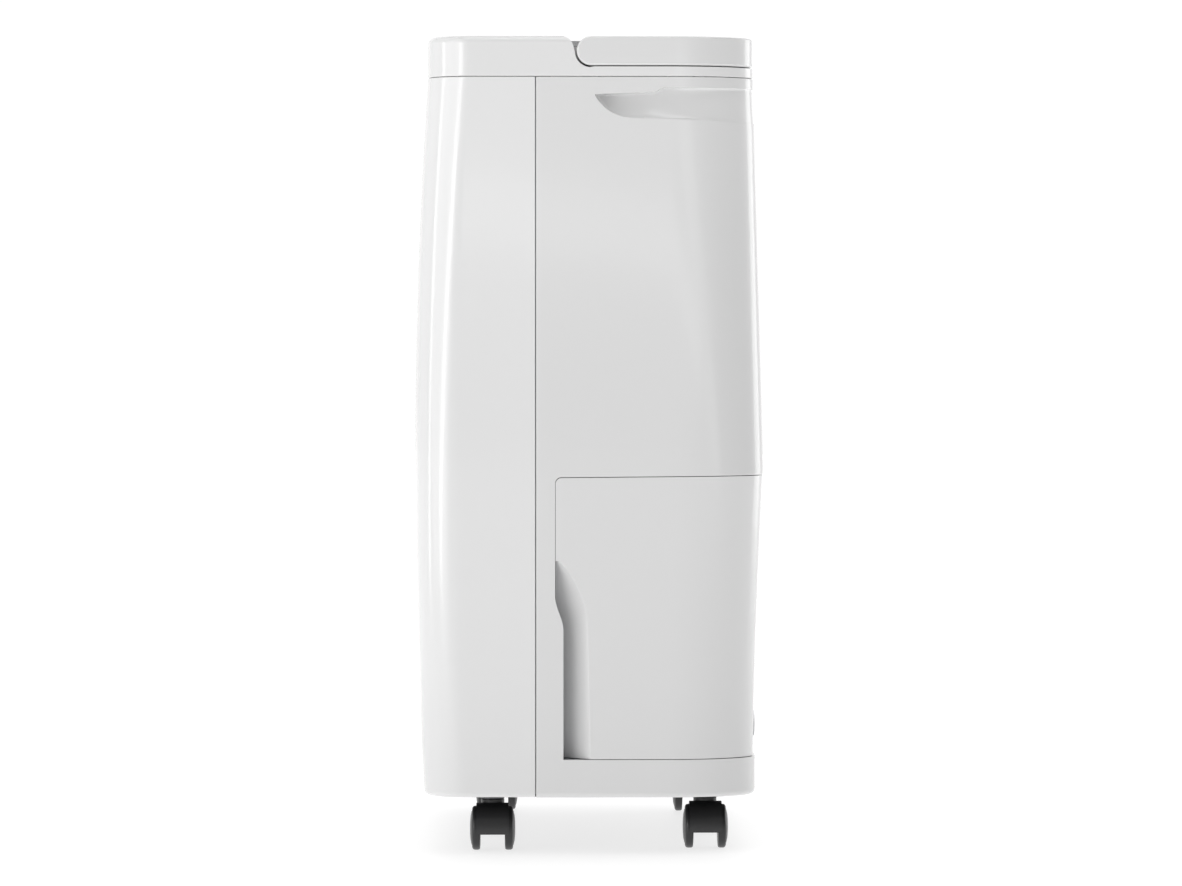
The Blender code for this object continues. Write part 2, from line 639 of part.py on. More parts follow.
discharge_pipe = tube("discharge_pipe", [(-60, -72, 234.5), (-60, -72, 262), (-150, -72, 262), (-150, -72, 470),
                                         (-150, 70, 470), (-128.5, 70, 470)], 4.0, 16, COPPER)
suction_pipe = tube("suction_pipe", [(-100.3, -72, 180), (-164, -72, 180), (-164, -72, 330), (-164, 94, 330),
                                     (-128.5, 94, 330)], 5.0, 16, COPPER)

# Fan, its casing and motor

casing = (arc((0, FAN_Z), (94, 94), 160, 380, 22) + [(114.0, 505.0), (114.0, 568.4), (-114.0, 568.4), (-114.0, 505.0)])
inside = (arc((0, FAN_Z), (91.5, 91.5), 160, 380, 22) + [(111.5, 505.0), (111.5, 580.0), (-111.5, 580.0), (-111.5, 505.0)])
fan_casing = prism("fan_casing", "Y", casing, 10.0, 58.0)
cut(fan_casing, prism("inside", "Y", inside, 12.5, 55.5), rod("inlet", (0, 50, FAN_Z), 62, 0, 12, "Y", 32),
    rod("shaft_hole", (0, 5, FAN_Z), 7, 0, 12, "Y"))
finish(fan_casing, GREY)

fan_wheel = turned("fan_wheel", [(0, 16), (12, 16), (12, 17), (FAN_RADIUS, 17), (FAN_RADIUS, 53), (68, 53), (68, 19),
                                 (12, 19), (12, 30), (0, 30)], (0, 0, FAN_Z), "Y", 24)
blade_gaps = []
for i in range(12):
    gap_box = boxes("gap", (64, 80, 21, 50, -13.5, 13.5))
    gap_box.data.transform(Matrix.Translation((0, 0, FAN_Z * MM)) @ Matrix.Rotation(2 * math.pi * (i + 0.5) / 12, 4, "Y"))
    blade_gaps.append(gap_box)
cut(fan_wheel, *blade_gaps, rod("shaft_bore", (0, 10, FAN_Z), 3.3, 0, 30, "Y", 12))
finish(fan_wheel, BLACK, 30, (0, 33, FAN_Z))
finish(rod("fan_shaft", (0, 0, FAN_Z), 3.0, -20, 34, "Y", 12), STEEL, 30, (0, 33, FAN_Z))
fan_motor = turned("fan_motor", [(0, -44), (26, -44), (36, -40), (38, -34), (38, 0), (34, 4), (12, 4), (12, 8), (0, 8)],
                   (0, 0, FAN_Z), "Y", 24)
cut(fan_motor, rod("shaft_bore", (0, -20.5, FAN_Z), 3.3, 0, 40, "Y", 12))
finish(fan_motor, STEEL)

# Drip tray, capacitor and cord gland

drip_tray = boxes("drip_tray", (-132, 132, 58, 108, 280.0, 294))
cut(drip_tray, boxes("hollow", (-130, 130, 60, 106, 282, 300)))
join(drip_tray, rod("spout", (0, 84, 275.4), 6.2, 0, 6))
cut(drip_tray, rod("spout_bore", (0, 84, 270), 4.4, 0, 20))
finish(drip_tray, GREY, 20)

run_capacitor = turned("run_capacitor", [(0, 110), (17, 110), (17, 174), (15, 176), (0, 176)], (96, -48, 0))
join(run_capacitor, boxes("strap", (84, 108, -50, -28.3, 130, 144)))
finish(run_capacitor, GALVANISED)

cord_gland = turned("cord_gland", [(0, -8), (5.9, -8), (5.9, 0.6), (8.2, 0.6), (8.2, 4.0), (6.4, 5.2), (0, 5.2)],
                    (-120, 120.1, 55), "Y", 16)
finish(cord_gland, BLACK)


# Casters


def caster(label, x, y, sense):
    """Stem, hood and two wheels, with the axle along Y and behind the stem."""
    stem = turned(f"caster_stem_{label}", [(0, 36.6), (8.5, 36.6), (8.5, 41.2), (4.2, 41.2), (4.2, 51), (5.2, 52), (4.2, 54),
                                          (0, 54)], (x, y, 0), "Z", 12)
    finish(stem, STEEL, 30, (x, y, 41.2))
    ax = x + TRAIL * sense
    arch = arc((ax, WHEEL_RADIUS), (18.3, 18.3), -10, 190, 10) + arc((ax, WHEEL_RADIUS), (16.8, 16.8), 190, -10, 10)
    hood = prism(f"caster_hood_{label}", "Y", arch, y - 11.8, y + 11.8)
    web = (arc((ax, WHEEL_RADIUS), (17.4, 17.4), -10, 190, 10)
           + arc((ax, WHEEL_RADIUS), (9.0, 9.0), 200, 340, 6))
    web_body = prism("web", "Y", web, y - 8.4, y + 8.4)
    neck = rod("neck", (x, y, 26), 8.5, 0, 10.3)
    join(hood, web_body, neck, rod("axle", (ax, y, WHEEL_RADIUS), 2.4, -12.3, 12.3, "Y", 10))
    finish(hood, BLACK, 30, (x, y, 36))
    for side, way in (("rear", 1), ("front", -1)):
        profile = [(0, 4.0), (2.7, 4.0), (2.7, 0), (14.5, 0), (16.0, 1.0), (16.0, 4.6), (15.2, 5.8), (10.5, 6.9), (0, 7.6)]
        wheel = turned(f"caster_wheel_{label}_{side}", [(r, way * t) for r, t in profile],
                       (ax, y + way * 8.9, WHEEL_RADIUS), "Y", 20)
        finish(wheel, BLACK, 35, (ax, y + way * 8.9, WHEEL_RADIUS))


for label, (x, y, sense) in CASTERS.items():
    caster(label, x, y, sense)
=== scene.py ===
import math

import bmesh
import bpy
from mathutils import Matrix, Vector


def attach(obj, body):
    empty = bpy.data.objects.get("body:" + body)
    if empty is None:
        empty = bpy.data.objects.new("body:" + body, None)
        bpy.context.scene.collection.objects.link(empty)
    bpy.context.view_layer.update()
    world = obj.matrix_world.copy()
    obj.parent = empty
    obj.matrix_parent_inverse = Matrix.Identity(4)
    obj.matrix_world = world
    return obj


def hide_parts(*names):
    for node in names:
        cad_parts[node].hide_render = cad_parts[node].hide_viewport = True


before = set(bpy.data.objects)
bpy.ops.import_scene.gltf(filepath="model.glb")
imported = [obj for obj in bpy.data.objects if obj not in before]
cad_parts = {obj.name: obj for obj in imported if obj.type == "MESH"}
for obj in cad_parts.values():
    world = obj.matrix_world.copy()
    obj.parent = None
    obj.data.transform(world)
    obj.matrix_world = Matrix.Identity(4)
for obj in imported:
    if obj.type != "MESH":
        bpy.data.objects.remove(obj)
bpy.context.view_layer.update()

mm = 0.001  # everything below is modelled in millimetres and scaled once at the end


# shape of the cabinet
cabinet = {
    "halfWidth": 180.0, "wall": 2.5, "bottom": 41.5, "top": 561.0, "collarTop": 590.0,
    "seamY": -39.0, "seamGap": 0.3, "ridgeZ": 275.0, "skirtTop": 69.2,
    "frontCorner": (30.0, 32.0), "rearCorner": (35.0, 63.0), "cornerSteps": 26,
}


def frontReach(z):
    return 126.6 - 1.2e-4 * (min(z, cabinet["top"]) - 277) ** 2


def rearReach(z):
    below = cabinet["ridgeZ"] - z
    if below <= 0:
        return 126.6 - 0.0283 * (min(z, 575) - 275)
    if z < cabinet["skirtTop"]:
        return 120.5
    return 126.3 - 0.048 * below + 0.00006 * below ** 2


def slopeOf(reach, z):
    return (reach(z + 0.4) - reach(z - 0.4)) / 0.8


def arcPoints(centre, radii, start, end, steps):
    turns = [math.radians(start + (end - start) * i / steps) for i in range(steps + 1)]
    return [(centre[0] + radii[0] * math.cos(a), centre[1] + radii[1] * math.sin(a)) for a in turns]


def spread(low, high, count):
    return [low + (high - low) * i / (count - 1) for i in range(count)]


def frontOutline(z, inset=0.0, seam=-39.0, steps=None):
    steps = steps or cabinet["cornerSteps"]
    a, b = cabinet["frontCorner"]
    x, y = cabinet["halfWidth"] - a, b - frontReach(z)
    right = arcPoints((x, y), (a - inset, b - inset), 0, -90, steps)
    left = arcPoints((-x, y), (a - inset, b - inset), -90, -180, steps)
    side = cabinet["halfWidth"] - inset
    return [(side, seam), *right, *left, (-side, seam)]


def rearOutline(z, inset=0.0, seam=-39.0, steps=None):
    steps = steps or cabinet["cornerSteps"]
    a, b = cabinet["rearCorner"]
    x, y = cabinet["halfWidth"] - a, rearReach(z) - b
    left = arcPoints((-x, y), (a - inset, b - inset), 180, 90, steps)
    right = arcPoints((x, y), (a - inset, b - inset), 90, 0, steps)
    side = cabinet["halfWidth"] - inset
    return [(-side, seam), *left, *right, (side, seam)]


def wholeOutline(z, inset=0.0, steps=None):
    return frontOutline(z, inset, -30, steps)[1:-1] + rearOutline(z, inset, -30, steps)[1:-1]


def atHeight(outline, z):
    return [(x, y, z) for x, y in outline]


def roundedRectangle(x0, x1, y0, y1, radius, steps=8):
    corners = ((x1 - radius, y1 - radius), (x0 + radius, y1 - radius),
               (x0 + radius, y0 + radius), (x1 - radius, y0 + radius))
    points = []
    for quarter, centre in enumerate(corners):
        points += arcPoints(centre, (radius, radius), 90 * quarter, 90 * quarter + 90, steps)
    return points


def smoothTable(table, y):
    # smooth curve through the rows of a table
    if y <= table[0][0]:
        return table[0][1]
    if y >= table[-1][0]:
        return table[-1][1]
    k = max(i for i in range(len(table) - 1) if table[i][0] <= y)
    (y0, v0), (y1, v1) = table[k], table[k + 1]
    secant = (v1 - v0) / (y1 - y0)

    def slope(j):
        if j in (0, len(table) - 1):
            return secant
        before = (table[j][1] - table[j - 1][1]) / (table[j][0] - table[j - 1][0])
        after = (table[j + 1][1] - table[j][1]) / (table[j + 1][0] - table[j][0])
        return 0.0 if before * after <= 0 else 2 * before * after / (before + after)

    t, h = (y - y0) / (y1 - y0), y1 - y0
    return (v0 * (1 + 2 * t) * (1 - t) ** 2 + h * slope(k) * t * (1 - t) ** 2
            + v1 * t * t * (3 - 2 * t) + h * slope(k + 1) * t * t * (t - 1))


# modelling helpers
def linked(name, data):
    obj = bpy.data.objects.new(name, data)
    bpy.context.scene.collection.objects.link(obj)
    return obj


def toObject(name, bm):
    bmesh.ops.scale(bm, vec=(mm, mm, mm), verts=bm.verts)
    mesh = bpy.data.meshes.new(name)
    bm.to_mesh(mesh)
    bm.free()
    return linked(name, mesh)


def growRing(bm, ring, places):
    edges = [bm.edges.get((a, b)) for a, b in zip(ring, ring[1:] + ring[:1])]
    made = bmesh.ops.extrude_edge_only(bm, edges=edges)["geom"]
    fresh = {v for v in made if isinstance(v, bmesh.types.BMVert)}
    after = [next(e.other_vert(v) for e in v.link_edges if e.other_vert(v) in fresh) for v in ring]
    for v, place in zip(after, places):
        v.co = place
    return after


def sweep(sections):
    # closed body: the first section is capped, extruded through the others and capped again
    bm = bmesh.new()
    ring = [bm.verts.new(p) for p in sections[0]]
    edges = [bm.edges.new(pair) for pair in zip(ring, ring[1:] + ring[:1])]
    bmesh.ops.contextual_create(bm, geom=edges)
    for section in sections[1:]:
        ring = growRing(bm, ring, section)
    edges = [bm.edges.get((a, b)) for a, b in zip(ring, ring[1:] + ring[:1])]
    bmesh.ops.contextual_create(bm, geom=edges)
    bmesh.ops.recalc_face_normals(bm, faces=bm.faces)
    return bm


def sweepAlong(axis, outline, low, high):
    place = {"X": lambda u, v, a: (a, u, v), "Y": lambda u, v, a: (u, a, v), "Z": lambda u, v, a: (u, v, a)}[axis]
    return sweep([[place(u, v, a) for u, v in outline] for a in (low, high)])


def block(x0, x1, y0, y1, z0, z1, round=0.0, steps=2):
    bm = bmesh.new()
    centre = Matrix.Translation(((x0 + x1) / 2, (y0 + y1) / 2, (z0 + z1) / 2))
    bmesh.ops.create_cube(bm, size=1.0, matrix=centre @ Matrix.Diagonal((x1 - x0, y1 - y0, z1 - z0, 1.0)))
    if round:
        bmesh.ops.bevel(bm, geom=bm.edges[:], offset=round, segments=steps, profile=0.5, affect="EDGES",
                        material=-1)
    return bm


def lathe(profile, centre, axis="Z", steps=48):
    # profile of (radius, along), spun about the axis through the centre
    bm = bmesh.new()
    chain = [bm.verts.new((r, 0, a)) for r, a in profile]
    edges = [bm.edges.new(pair) for pair in zip(chain, chain[1:])]
    bmesh.ops.spin(bm, geom=chain + edges, cent=(0, 0, 0), axis=(0, 0, 1), dvec=(0, 0, 0), angle=2 * math.pi,
                   steps=steps, use_merge=True, use_duplicate=False)
    bmesh.ops.remove_doubles(bm, verts=bm.verts, dist=1e-4)
    openEdges = [e for e in bm.edges if e.is_boundary]
    if openEdges:
        bmesh.ops.holes_fill(bm, edges=openEdges)
    turn = {"X": Matrix.Rotation(math.radians(90), 4, "Y"), "Y": Matrix.Rotation(math.radians(-90), 4, "X"),
            "Z": Matrix.Identity(4)}[axis]
    bmesh.ops.transform(bm, matrix=Matrix.Translation(centre) @ turn, verts=bm.verts)
    bmesh.ops.recalc_face_normals(bm, faces=bm.faces)
    return bm


def rod(radius, low, high, centre, axis="Z", steps=24):
    return lathe([(0, low), (radius, low), (radius, high), (0, high)], centre, axis, steps)


def gather(*parts):
    # several bmeshes as one
    whole = bmesh.new()
    for part in parts:
        mesh = bpy.data.meshes.new("part")
        part.to_mesh(mesh)
        part.free()
        whole.from_mesh(mesh)
        bpy.data.meshes.remove(mesh)
    return whole


def keepModified(obj):
    bpy.context.view_layer.update()
    made = bpy.data.meshes.new_from_object(obj.evaluated_get(bpy.context.evaluated_depsgraph_get()))
    obj.modifiers.clear()
    obj.data = made
    return obj


def carve(obj, bm, how="DIFFERENCE"):
    tool = toObject("tool", bm)
    modifier = obj.modifiers.new("carve", "BOOLEAN")
    modifier.operation, modifier.solver, modifier.object = how, "EXACT", tool
    keepModified(obj)
    bpy.data.objects.remove(tool)
    return obj


def takenBack(obj):
    # the object's mesh as a bmesh in millimetres again
    bm = bmesh.new()
    bm.from_mesh(obj.data)
    bmesh.ops.scale(bm, vec=(1 / mm, 1 / mm, 1 / mm), verts=bm.verts)
    bpy.data.objects.remove(obj)
    return bm


def soften(obj, width, angle=40.0, steps=2, where=None, settle=0.2, shell=False):
    # rounds the sharp edges, after clearing what the cuts left behind
    bm = bmesh.new()
    bm.from_mesh(obj.data)
    bmesh.ops.remove_doubles(bm, verts=bm.verts, dist=0.004 * mm)
    bmesh.ops.dissolve_degenerate(bm, edges=bm.edges, dist=0.004 * mm)
    loose = [e for e in bm.edges if not shell or max(onShell(v.co / mm)[0] for v in e.verts) > 0.05]
    inside = [v for v in bm.verts if not shell or onShell(v.co / mm)[0] > 0.05]
    bmesh.ops.dissolve_limit(bm, angle_limit=math.radians(settle), verts=inside, edges=loose)
    if width:
        sharp = [e for e in bm.edges if len(e.link_faces) == 2 and e.calc_face_angle(0) > math.radians(angle)]
        if where:
            sharp = [e for e in sharp if where((e.verts[0].co + e.verts[1].co) / 2 / mm)]
        bmesh.ops.bevel(bm, geom=sharp, offset=width * mm, offset_type="OFFSET", segments=steps, profile=0.5,
                        affect="EDGES", clamp_overlap=True, material=-1)
    bm.to_mesh(obj.data)
    bm.free()
    return obj


def onShell(p):
    # how far a point is from the cabinet's outer surface, and the way that surface faces there
    x, y, z = p
    sign = 1.0 if x >= 0 else -1.0
    half = cabinet["halfWidth"]
    if y < -30:
        a, b = cabinet["frontCorner"]
        reach, sense, slope = frontReach(z), -1.0, slopeOf(frontReach, z) if z < 560.9 else 0.0
    else:
        a, b = cabinet["rearCorner"]
        # the slope is taken clear of the ridge and of the step at the skirt
        level = z + 0.5 if z > cabinet["ridgeZ"] else max(z - 0.5, cabinet["skirtTop"] + 0.6)
        reach, sense, slope = rearReach(z), 1.0, slopeOf(rearReach, level)
        if z < cabinet["skirtTop"] + 0.1:
            slope = 0.0
    along = sense * y - (reach - b)
    if along <= 0:
        return abs(abs(x) - half), Vector((sign, 0, 0))
    if abs(x) <= half - a:
        return abs(sense * y - reach), Vector((0, sense, -slope)).normalized()
    u, v = (abs(x) - half + a) / a, along / b
    return abs(math.hypot(u, v) - 1) * 30, Vector((sign * u / a, sense * v / b, -slope * v / b)).normalized()


def shade(obj, angle=35.0, shell=False):
    mesh = obj.data
    mesh.polygons.foreach_set("use_smooth", [True] * len(mesh.polygons))
    mesh.set_sharp_from_angle(angle=math.radians(angle))
    if not shell:
        # flat faces stay flat beside a rounded edge
        modifier = obj.modifiers.new("weighted", "WEIGHTED_NORMAL")
        modifier.keep_sharp, modifier.weight = True, 50
        return keepModified(obj)
    shellAt = {}
    for v in mesh.vertices:
        off, way = onShell(v.co / mm)
        if off < 0.06:
            shellAt[v.index] = way
    normals = [(0.0, 0.0, 0.0)] * len(mesh.loops)
    for face in mesh.polygons:
        for i in face.loop_indices:
            way = shellAt.get(mesh.loops[i].vertex_index)
            if way and face.normal.dot(way) > 0.5:
                normals[i] = tuple(way)
    mesh.normals_split_custom_set(normals)
    return obj


def place(obj, name, body, slot, finish, *nodes):
    # name, body, material and the CAD nodes that the piece stands for
    obj.name = name
    obj.data.materials.clear()
    obj.data.materials.append(finish)
    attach(obj, body)
    if nodes:
        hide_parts(*nodes)
    return obj


# materials
class Value:
    def __init__(self, maker, socket):
        self.maker, self.socket = maker, socket

    def join(self, kind, other, swap=False):
        pair = (other, self) if swap else (self, other)
        return self.maker.node("ShaderNodeMath", {"operation": kind}, {0: pair[0], 1: pair[1]})

    def __add__(self, other): return self.join("ADD", other)
    def __radd__(self, other): return self.join("ADD", other, True)
    def __sub__(self, other): return self.join("SUBTRACT", other)
    def __rsub__(self, other): return self.join("SUBTRACT", other, True)
    def __mul__(self, other): return self.join("MULTIPLY", other)
    def __truediv__(self, other): return self.join("DIVIDE", other)
    def __gt__(self, other): return self.join("GREATER_THAN", other)


class Finish:
    def __init__(self, name, **fixed):
        self.material = bpy.data.materials.new(name)
        self.material.use_nodes = True
        self.tree = self.material.node_tree
        self.shader = self.tree.nodes["Principled BSDF"]
        for key, value in fixed.items():
            self.shader.inputs[key.replace("_", " ")].default_value = value
        self.place = self.node("ShaderNodeTexCoord", {}, {}, "Object")

    def node(self, kind, settings, inputs, out=0):
        made = self.tree.nodes.new(kind)
        for key, value in settings.items():
            setattr(made, key, value)
        for key, value in inputs.items():
            if isinstance(value, Value):
                self.tree.links.new(value.socket, made.inputs[key])
            else:
                made.inputs[key].default_value = value
        return Value(self, made.outputs[out])

    def noise(self, scale, detail=2.0, rough=0.5, stretch=(1, 1, 1)):
        where = self.node("ShaderNodeMapping", {}, {"Vector": self.place, "Scale": stretch})
        inputs = {"Vector": where, "Scale": scale, "Detail": detail, "Roughness": rough}
        return self.node("ShaderNodeTexNoise", {}, inputs)

    def blendColours(self, factor, first, second):
        return self.node("ShaderNodeMix", {"data_type": "RGBA"}, {0: factor, 6: first, 7: second}, 2)

    def feed(self, **links):
        for key, value in links.items():
            self.tree.links.new(value.socket, self.shader.inputs[key.replace("_", " ")])

    def bump(self, height, strength, distance):
        inputs = {"Height": height, "Strength": strength, "Distance": distance}
        self.feed(Normal=self.node("ShaderNodeBump", {}, inputs))

    def wave(self, along, half):
        # rises from 0 to 1 and falls again, half its length each
        return self.node("ShaderNodeMath", {"operation": "PINGPONG"}, {0: along, 1: half}) / half

    def fade(self, value, low, high, first, second):
        return self.node("ShaderNodeMapRange", {"interpolation_type": "SMOOTHSTEP"},
                         {0: value, 1: low, 2: high, 3: first, 4: second})


def tinted(tone, factor=1.0):
    return (*(c * factor for c in tone), 1)


def glossWhite(name, tone, rough=0.17):
    f = Finish(name, IOR=1.5, Coat_Roughness=0.06)
    cloud = f.noise(4.0, 3.0)
    smudge = f.noise(23.0, 4.0, 0.6)
    f.feed(Base_Color=f.blendColours(cloud, tinted(tone, 0.988), tinted(tone, 1.012)),
           Roughness=smudge * 0.07 + (rough - 0.035))
    f.feed(Coat_Weight=0.25 + cloud * 0.1)
    f.bump(f.noise(620.0, 1.0), 0.05, 0.00006)
    return f.material


def grained(name, tone, rough, grain=1500.0, strength=0.22, depth=0.00012):
    f = Finish(name, IOR=1.48)
    cloud, fine = f.noise(9.0, 3.0), f.noise(grain, 2.0)
    f.feed(Base_Color=f.blendColours(cloud * 0.6 + fine * 0.4, tinted(tone, 0.9), tinted(tone, 1.1)),
           Roughness=fine * 0.12 + (rough - 0.06))
    f.bump(fine, strength, depth)
    return f.material


def metal(name, tone, rough, stretch, tarnish=0.15):
    f = Finish(name, Metallic=1.0)
    brush = f.noise(420.0, 3.0, 0.6, stretch)
    patch = f.noise(30.0, 4.0, 0.6)
    f.feed(Base_Color=f.blendColours(patch, tinted(tone, 1 - tarnish), tinted(tone)),
           Roughness=brush * 0.16 + patch * 0.08 + (rough - 0.12))
    f.bump(brush, 0.12, 0.00008)
    return f.material


# one glossy white plastic in three tones: painted light on the front cover, painted shade on the housing, tank,
# handle and intake grille, and a tone in between on the collar
white = glossWhite("glossyWhiteCoverPaintedLight", (0.83, 0.83, 0.83))
whiteCollarPaintedHalfShade = glossWhite("glossyWhiteCollarPaintedHalfShade", (0.81, 0.81, 0.81))
whitePaintedShade = glossWhite("glossyWhitePaintedShade", (0.77, 0.77, 0.77))
blackSatin = grained("satinBlackCaster", (0.030, 0.030, 0.031), 0.34, 900.0, 0.08)
blackSteel = metal("blackenedSteel", (0.10, 0.10, 0.105), 0.34, (1, 1, 6))
blackPlain = grained("blackMoulding", (0.022, 0.022, 0.024), 0.5)
greyTrim = grained("greyTrim", (0.30, 0.31, 0.325), 0.46)
steel = metal("turnedSteel", (0.62, 0.63, 0.65), 0.3, (1, 1, 6))
copper = metal("drawnCopper", (0.78, 0.43, 0.30), 0.3, (1, 1, 4), 0.35)
deckGrey = grained("deckGrey", (0.60, 0.605, 0.61), 0.42, 1500.0, 0.12)
buttonGrey = grained("buttonGrey", (0.42, 0.43, 0.44), 0.36, 1300.0, 0.12)
rubber = grained("mountRubber", (0.028, 0.028, 0.030), 0.78, 700.0, 0.4)
foam = grained("floatFoam", (0.72, 0.76, 0.80), 0.85, 380.0, 0.7, 0.0003)
enamel = glossWhite("blackEnamel", (0.018, 0.018, 0.020), 0.2)
smoked = glossWhite("smokedPanel", (0.014, 0.015, 0.018), 0.24)
lens = glossWhite("smokedLens", (0.006, 0.007, 0.010), 0.06)
iconInk = grained("iconInk", (0.80, 0.82, 0.84), 0.5)
figureDark = grained("unlitFigure", (0.030, 0.034, 0.040), 0.4)


def glowing(name, tone, strength):
    f = Finish(name, Roughness=0.4)
    f.shader.inputs["Emission Strength"].default_value = strength
    fade = f.noise(260.0, 2.0)
    f.feed(Base_Color=f.blendColours(fade, tinted(tone, 0.8), tinted(tone)),
           Emission_Color=f.blendColours(fade, tinted(tone, 0.85), tinted(tone)))
    return f.material


def finnedCoil(name):
    # bright fin metal with painted shade: dark stripes between the fins, and a little darker between the tube rows
    f = Finish(name, Metallic=1.0)
    split = f.node("ShaderNodeSeparateXYZ", {}, {0: f.place})
    x, z = split, Value(f, split.socket.node.outputs[2])
    fin, row = f.wave(x, 0.0009), f.wave(z, 0.0125)
    dull = f.noise(60.0, 4.0, 0.6)
    # the fin stripes and the tube rows paint shade into the base colour
    f.feed(Base_Color=f.blendColours(fin * (0.7 + row * 0.3), (0.16, 0.17, 0.18, 1), (0.78, 0.79, 0.80, 1)),
           Roughness=0.32 + dull * 0.2)
    f.bump(fin, 0.5, 0.0006)
    return f.material


def netting(name):
    # woven net, open between its threads
    f = Finish(name, Roughness=0.7)
    split = f.node("ShaderNodeSeparateXYZ", {}, {0: f.place})
    x, z = split, Value(f, split.socket.node.outputs[2])
    across, up = f.wave(x, 0.0008), f.wave(z, 0.0008)
    thread = f.node("ShaderNodeMath", {"operation": "MAXIMUM"}, {0: across, 1: up})
    dust = f.noise(14.0, 3.0)
    f.feed(Base_Color=f.blendColours(dust, (0.05, 0.055, 0.06, 1), (0.09, 0.095, 0.10, 1)), Alpha=thread > 0.52)
    f.bump(thread, 0.4, 0.0003)
    return f.material


def circuitBoard(name):
    f = Finish(name, Roughness=0.35)
    inputs = {"Vector": f.place, "Scale": 90.0, "Mortar Size": 0.012, "Bias": 0.0}
    tracks = f.node("ShaderNodeTexBrick", {"offset": 0.5}, inputs, 1)
    patch = f.noise(40.0, 2.0)
    f.feed(Base_Color=f.blendColours(tracks * 0.8 + patch * 0.2, (0.012, 0.085, 0.040, 1), (0.03, 0.20, 0.09, 1)))
    f.bump(tracks, 0.2, 0.0001)
    return f.material


def spangled(name, tone):
    f = Finish(name, Metallic=1.0)
    flake = f.node("ShaderNodeTexVoronoi", {"feature": "F1"}, {"Vector": f.place, "Scale": 160.0}, 1)
    grey = f.node("ShaderNodeSeparateColor", {}, {0: flake})
    f.feed(Base_Color=f.blendColours(grey, tinted(tone, 0.75), tinted(tone)), Roughness=0.3 + grey * 0.2)
    f.bump(grey, 0.1, 0.00005)
    return f.material


figureGlow = glowing("litFigure", (0.75, 0.92, 1.0), 0.7)
fins = finnedCoil("coilFinsPaintedShade")
net = netting("filterNet")
board = circuitBoard("greenBoard")
zinc = spangled("zincSheet", (0.66, 0.68, 0.70))
print("materials ready")


# front cover
cover = {"seamRound": 0.7, "bottomRound": 4.0, "topRound": 0.6, "levels": 44,
         "bottomTurns": (12, 28, 44, 60, 76), "topTurns": (60, 30, 0)}


def coverSection(z, inset):
    seam, r = cabinet["seamY"] - cabinet["seamGap"], cover["seamRound"]
    side = cabinet["halfWidth"] - inset
    outer = frontOutline(z, inset, seam)[1:-1]
    lip = arcPoints((side - r, seam - r), (r, r), 90, 0, 4)
    inner = frontOutline(z, inset + cabinet["wall"], seam)
    return atHeight(lip + outer + [(-x, y) for x, y in reversed(lip)] + inner[::-1], z)


def shellLevels(low, high, between):
    # heights and insets up a shell whose bottom and top edges are rounded
    r, top = cover["bottomRound"], cover["topRound"]
    levels = [(low + r * (1 - math.cos(a)), r * (1 - math.sin(a))) for a in map(math.radians, cover["bottomTurns"])]
    levels += [(z, 0.0) for z in between]
    topTurns = map(math.radians, cover["topTurns"])
    return levels + [(high - top * (1 - math.cos(a)), top * (1 - math.sin(a))) for a in topTurns]


def buildFrontCover():
    low, high = cabinet["bottom"] + 0.2, cabinet["top"] - 0.4
    between = spread(low + cover["bottomRound"], high - cover["topRound"], cover["levels"])
    levels = shellLevels(low, high, between)
    obj = toObject("frontCover", sweep([coverSection(z, inset) for z, inset in levels]))
    place(shade(obj, 35, True), "frontCover", "cabinet", "white_shell", white, "front_cover")


buildFrontCover()
print("front cover built")


# rear housing with its hand-hold scoops; each scoop's tables run from front to rear
scoop = {
    "top": [(3.6, 548.0), (20.0, 548.7), (45.5, 549.7), (48.0, 550.3), (51.5, 552.3), (54.0, 552.8),
            (130.0, 552.8)],
    "low": [(3.6, 547.2), (5.5, 544.0), (8.7, 540.4), (12.0, 537.2), (15.9, 534.7), (21.0, 532.6), (27.4, 531.1),
            (50.0, 530.3), (79.0, 529.6), (120.0, 527.9)],
    "depth": [(3.6, 0.8), (5.0, 7.0), (8.0, 11.5), (14.0, 13.0), (25.0, 12.6), (45.0, 10.8), (65.0, 8.0),
              (85.0, 4.6), (104.0, 2.2), (118.0, 1.3)],
    "stations": (3.6, 4.2, 5.0, 6.0, 7.2, 8.7, 10.4, 12.4, 14.6, 17.0, 20.0, 24.0, 29.0, 34.0, 39.0, 43.0, 46.0,
                 48.0, 49.5, 51.0, 52.5, 54.0),
    "wall": 2.4,
}
# openings in the rear: the intake, and round ones for the gland and the drain
intake = {"half": 125.4, "low": 289.6, "high": 520.4}
gland = {"x": -120, "y": 120.1, "z": 55, "hole": 6.4}
drain = {"x": 80, "y": 115.6, "z": 88, "hole": 6.3}


def scoopStations():
    reach = rearReach(540)
    a, b = cabinet["rearCorner"]
    half = cabinet["halfWidth"]
    right = [(lambda inset, y=y: (half - inset, y), y) for y in scoop["stations"]]
    for angle in map(math.radians, spread(2, 90, 26)):
        def corner(inset, angle=angle):
            return (half - a + (a - inset) * math.cos(angle), reach - b + (b - inset) * math.sin(angle))
        right.append((corner, corner(0.0)[1]))
    return right + [(lambda inset, f=f: (-f(inset)[0], f(inset)[1]), y) for f, y in reversed(right)]


def scoopBody(grow, outside):
    sections = []
    for at, y in scoopStations():
        top, low = smoothTable(scoop["top"], y) + grow, smoothTable(scoop["low"], y) - grow
        depth = smoothTable(scoop["depth"], y) + grow
        profile = [(outside, low)]
        for v in spread(0.0, 0.92, 15):
            profile.append((max(depth * min(1.0, v / 0.9) ** 0.65, outside), low + (top - low) * v))
        profile += [(depth * 0.985, top - 0.03 * (top - low)), (depth * 0.9, top), (outside, top)]
        sections.append([(*at(inset), z) for inset, z in profile])
    return sweep(sections)


